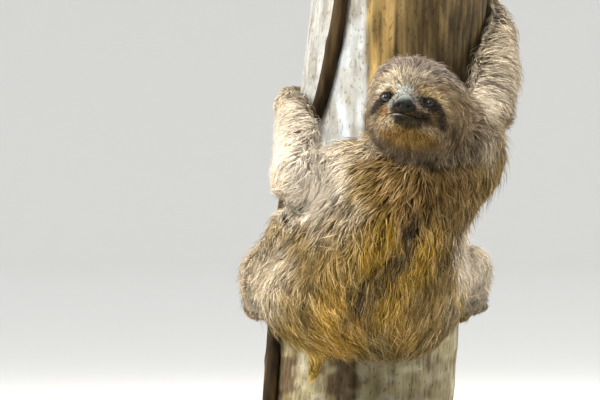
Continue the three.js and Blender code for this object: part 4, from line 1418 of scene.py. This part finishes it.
def add_trunk():
    """The bark as a fine tube, and the two cut ends with a rim of bark round them."""
    rows, columns = 230, 290
    height = np.linspace(TRUNK_BOTTOM, TRUNK_TOP, rows)[:, None]
    even = on_trunk(np.linspace(0, 360, columns, endpoint=False)[None], height, 0).reshape(-1, 3)
    _, out = off_bark(even)
    points = even + out * bark_relief(even)[:, None]
    bark = mesh_object("trunk_bark", points, grid_faces(rows, columns))
    set_colours(bark, bark_colours(even))
    keep(bark, "bark", bark_finish(), "perch_trunk")
    finish = cut_wood_finish()
    rings = np.array([0, 0.25, 0.5, 0.75, 0.9, BARK_GROOVE, 0.97, 1.0])
    for name, row, up in (("top", rows - 1, 1), ("bottom", 0, -1)):
        rim = points.reshape(rows, columns, 3)[row]
        middle = rim.mean(axis=0)
        disc = middle + (rim - middle)[None] * rings[:, None, None]
        disc[..., 2] -= up * np.where(rings == BARK_GROOVE, 0.6, 0)[:, None]
        rough = 0.5 * noise(disc.reshape(-1, 3), 12, 41) - 0.4
        disc[..., 2] += up * rough.reshape(disc.shape[:2])
        disc[-1] = rim
        faces = grid_faces(len(rings), columns)
        cut = mesh_object(f"trunk_cut_{name}", disc.reshape(-1, 3), faces[:, :: -up])
        weld(cut)
        keep(cut, "bark", finish)


def weld(piece):
    """Joins vertices of a piece that lie at one place."""
    mesh = bmesh.new()
    mesh.from_mesh(piece.data)
    bmesh.ops.remove_doubles(mesh, verts=mesh.verts, dist=1e-6)
    mesh.to_mesh(piece.data)
    mesh.free()


def add_vine():
    """The vine, with strands that twist along it."""
    stops = np.array([on_trunk(angle, z, VINE_RADIUS) for angle, z in VINE_STOPS])
    share = np.linspace(0, len(stops) - 1, 260)
    centres = catmull(stops, share)
    radii = VINE_RADIUS + 0.5 * np.sin(share * 2.9) - 0.3

    def strands(angle, row):
        """The stem's relief: twisted strands, with a knot in every 57 rows."""
        twist = angle * 3 + row * 0.05
        knots = 0.9 * np.exp(-(((row % 57) - 28) ** 2) / 14)
        return 0.55 * np.sin(twist) + 0.25 * np.sin(7 * angle - row * 0.08) + knots

    piece = tube("vine_stem", centres, radii, 40, strands)
    keep(piece, "vine", vine_finish(), "perch_vine")


def catmull(values, share):
    """A smooth curve through values, read at places counted along them."""
    n = np.clip(share.astype(int), 0, len(values) - 2)
    t = (share - n)[:, None]
    padded = np.concatenate([2 * values[:1] - values[1:2], values, 2 * values[-1:] - values[-2:-1]])
    a, b, c, d = (padded[n + k] for k in range(4))
    square = 2 * a - 5 * b + 4 * c - d
    cube = 3 * b - a - 3 * c + d
    return 0.5 * (2 * b + (c - a) * t + square * t**2 + cube * t**3)


# ---------------------------------------------------------------- stand
BOARD_CORNER, BOARD_EDGE = 26.0, 2.5  # radii of the board's corners and of its edges
ROD_COLLAR = [(0, 1.35), (2.4, 1.35), (3.0, 1.25), (3.2, 1.0)]  # height, and share of its radius


def add_board():
    """The stand's board, with softened edges."""
    low, high = box_of("stand_base")
    middle = ((low + high) / 2)[:2]
    inner = ((high - low) / 2)[:2] - BOARD_CORNER
    arc = np.radians(np.arange(0, 91, 6))
    turn = np.concatenate([arc + quarter * math.pi / 2 for quarter in range(4)])
    ways = np.stack([np.cos(turn), np.sin(turn)], axis=1)
    signs = np.repeat([(1, 1), (-1, 1), (-1, -1), (1, -1)], len(arc), axis=0)
    sweep = np.radians(np.arange(0, 91, 15))
    edge = BOARD_EDGE * (1 - np.stack([np.sin(sweep), np.cos(sweep)], axis=1))
    levels = [(inset, low[2] + up) for inset, up in edge]
    levels += [(inset, high[2] - up) for inset, up in edge[::-1]]
    rows = []
    for inset, z in levels:
        ring = middle + signs * inner + (BOARD_CORNER - inset) * ways
        rows.append(np.column_stack([ring, np.full(len(ring), z)]))
    count = len(turn)
    faces = grid_faces(len(rows), count).tolist()
    top = (len(rows) - 1) * count
    faces += [list(range(count))[::-1], list(range(top, top + count))]
    board = mesh_object("display_board", np.concatenate(rows), faces, smooth=False)
    keep(board, "base", base_finish(), "stand_base")


def add_rods():
    """The stand's rods, with a collar at either end."""
    finish = rod_finish()
    for side in ("left", "right"):
        low, high = box_of(f"stand_rod_{side}")
        x, y, _ = (low + high) / 2
        radius, length = (high[0] - low[0]) / 2, high[2] - low[2]
        profile = ROD_COLLAR + [(length - up, wide) for up, wide in ROD_COLLAR[::-1]]
        centres = [(x, y, low[2] + up) for up, _ in profile]
        rod = tube(f"display_rod_{side}", centres, [radius * wide for _, wide in profile], 40)
        keep(rod, "rod", finish, f"stand_rod_{side}")


# ---------------------------------------------------------------- studio
CAMERA_PLACE = (-0.080, -3.160, 0.275)  # in metres, as the lights' places are
LIT_PLACE = (0, -0.1, 0.3)


def add_camera():
    """The photograph's level view, with a long lens three metres from the sloth."""
    data = bpy.data.cameras.new("camera")
    data.lens = 180
    data.sensor_width = 36
    camera = new_object("camera", data)
    camera.location = CAMERA_PLACE
    camera.rotation_euler = (math.radians(90), 0, 0)
    bpy.context.scene.camera = camera


def add_room():
    """A pale floor that rises all round in one soft curve."""
    flat, bend, top = 9000.0, 3000.0, 5000.0
    turn = np.linspace(0, math.pi / 2, 13)
    profile = [(1, 0), (flat, 0)]
    profile += [(flat + bend * math.sin(a), bend * (1 - math.cos(a))) for a in turn[1:]]
    profile.append((flat + bend, bend + top))
    sides, gap = 96, 0.2  # the gap keeps the floor's face off the board's
    ways = np.stack([np.cos(circle(sides)), np.sin(circle(sides))], axis=1)
    rows = [np.column_stack([reach * ways, np.full(sides, z - gap)]) for reach, z in profile]
    floor = mesh_object("studio_floor", np.concatenate(rows), grid_faces(len(rows), sides))
    paper = Finish("studio_paper", 0.9, 0.1)
    paper.colour((0.80, 0.80, 0.79, 1))
    floor.data.materials.append(paper.material)


def add_light(name, place, size, power, colour):
    """A square lamp that points at the sloth's middle."""
    data = bpy.data.lights.new(name, "AREA")
    data.size = size
    data.energy = power
    data.color = colour
    data.spread = math.radians(70)
    light = new_object(name, data)
    light.location = place
    ahead = Vector(LIT_PLACE) - Vector(place)
    light.rotation_euler = ahead.to_track_quat("-Z", "Y").to_euler()


def add_lights():
    """Lamps in metres and watts, and a bright even sky."""
    add_light("key", (-1.5, -1.9, 2.2), 0.9, 13, (1.0, 0.96, 0.90))
    add_light("side", (-2.2, 0.2, 1.3), 1.0, 13, (1.0, 0.98, 0.93))
    add_light("side_right", (2.2, 0.5, 1.6), 1.0, 11, (1.0, 0.97, 0.92))
    add_light("glint", (-0.9, -2.6, 1.5), 0.22, 1.2, (1.0, 1.0, 1.0))
    world = bpy.data.worlds.new("world")
    world.use_nodes = True
    sky = world.node_tree.nodes["Background"]
    sky.inputs["Color"].default_value = (1.0, 1.0, 0.99, 1)
    sky.inputs["Strength"].default_value = 1.05
    bpy.context.scene.world = world
    bpy.context.scene.view_settings.view_transform = "Standard"


# ---------------------------------------------------------------- everything
add_camera()
add_lights()
add_room()
add_board()
add_rods()
add_trunk()
add_vine()
add_claws()
skin = Skin()
skin_map = add_skin(skin)
add_lids(skin)
add_eyes()
add_nose()
add_ears()
add_coat(skin, skin_map, fur_finish())
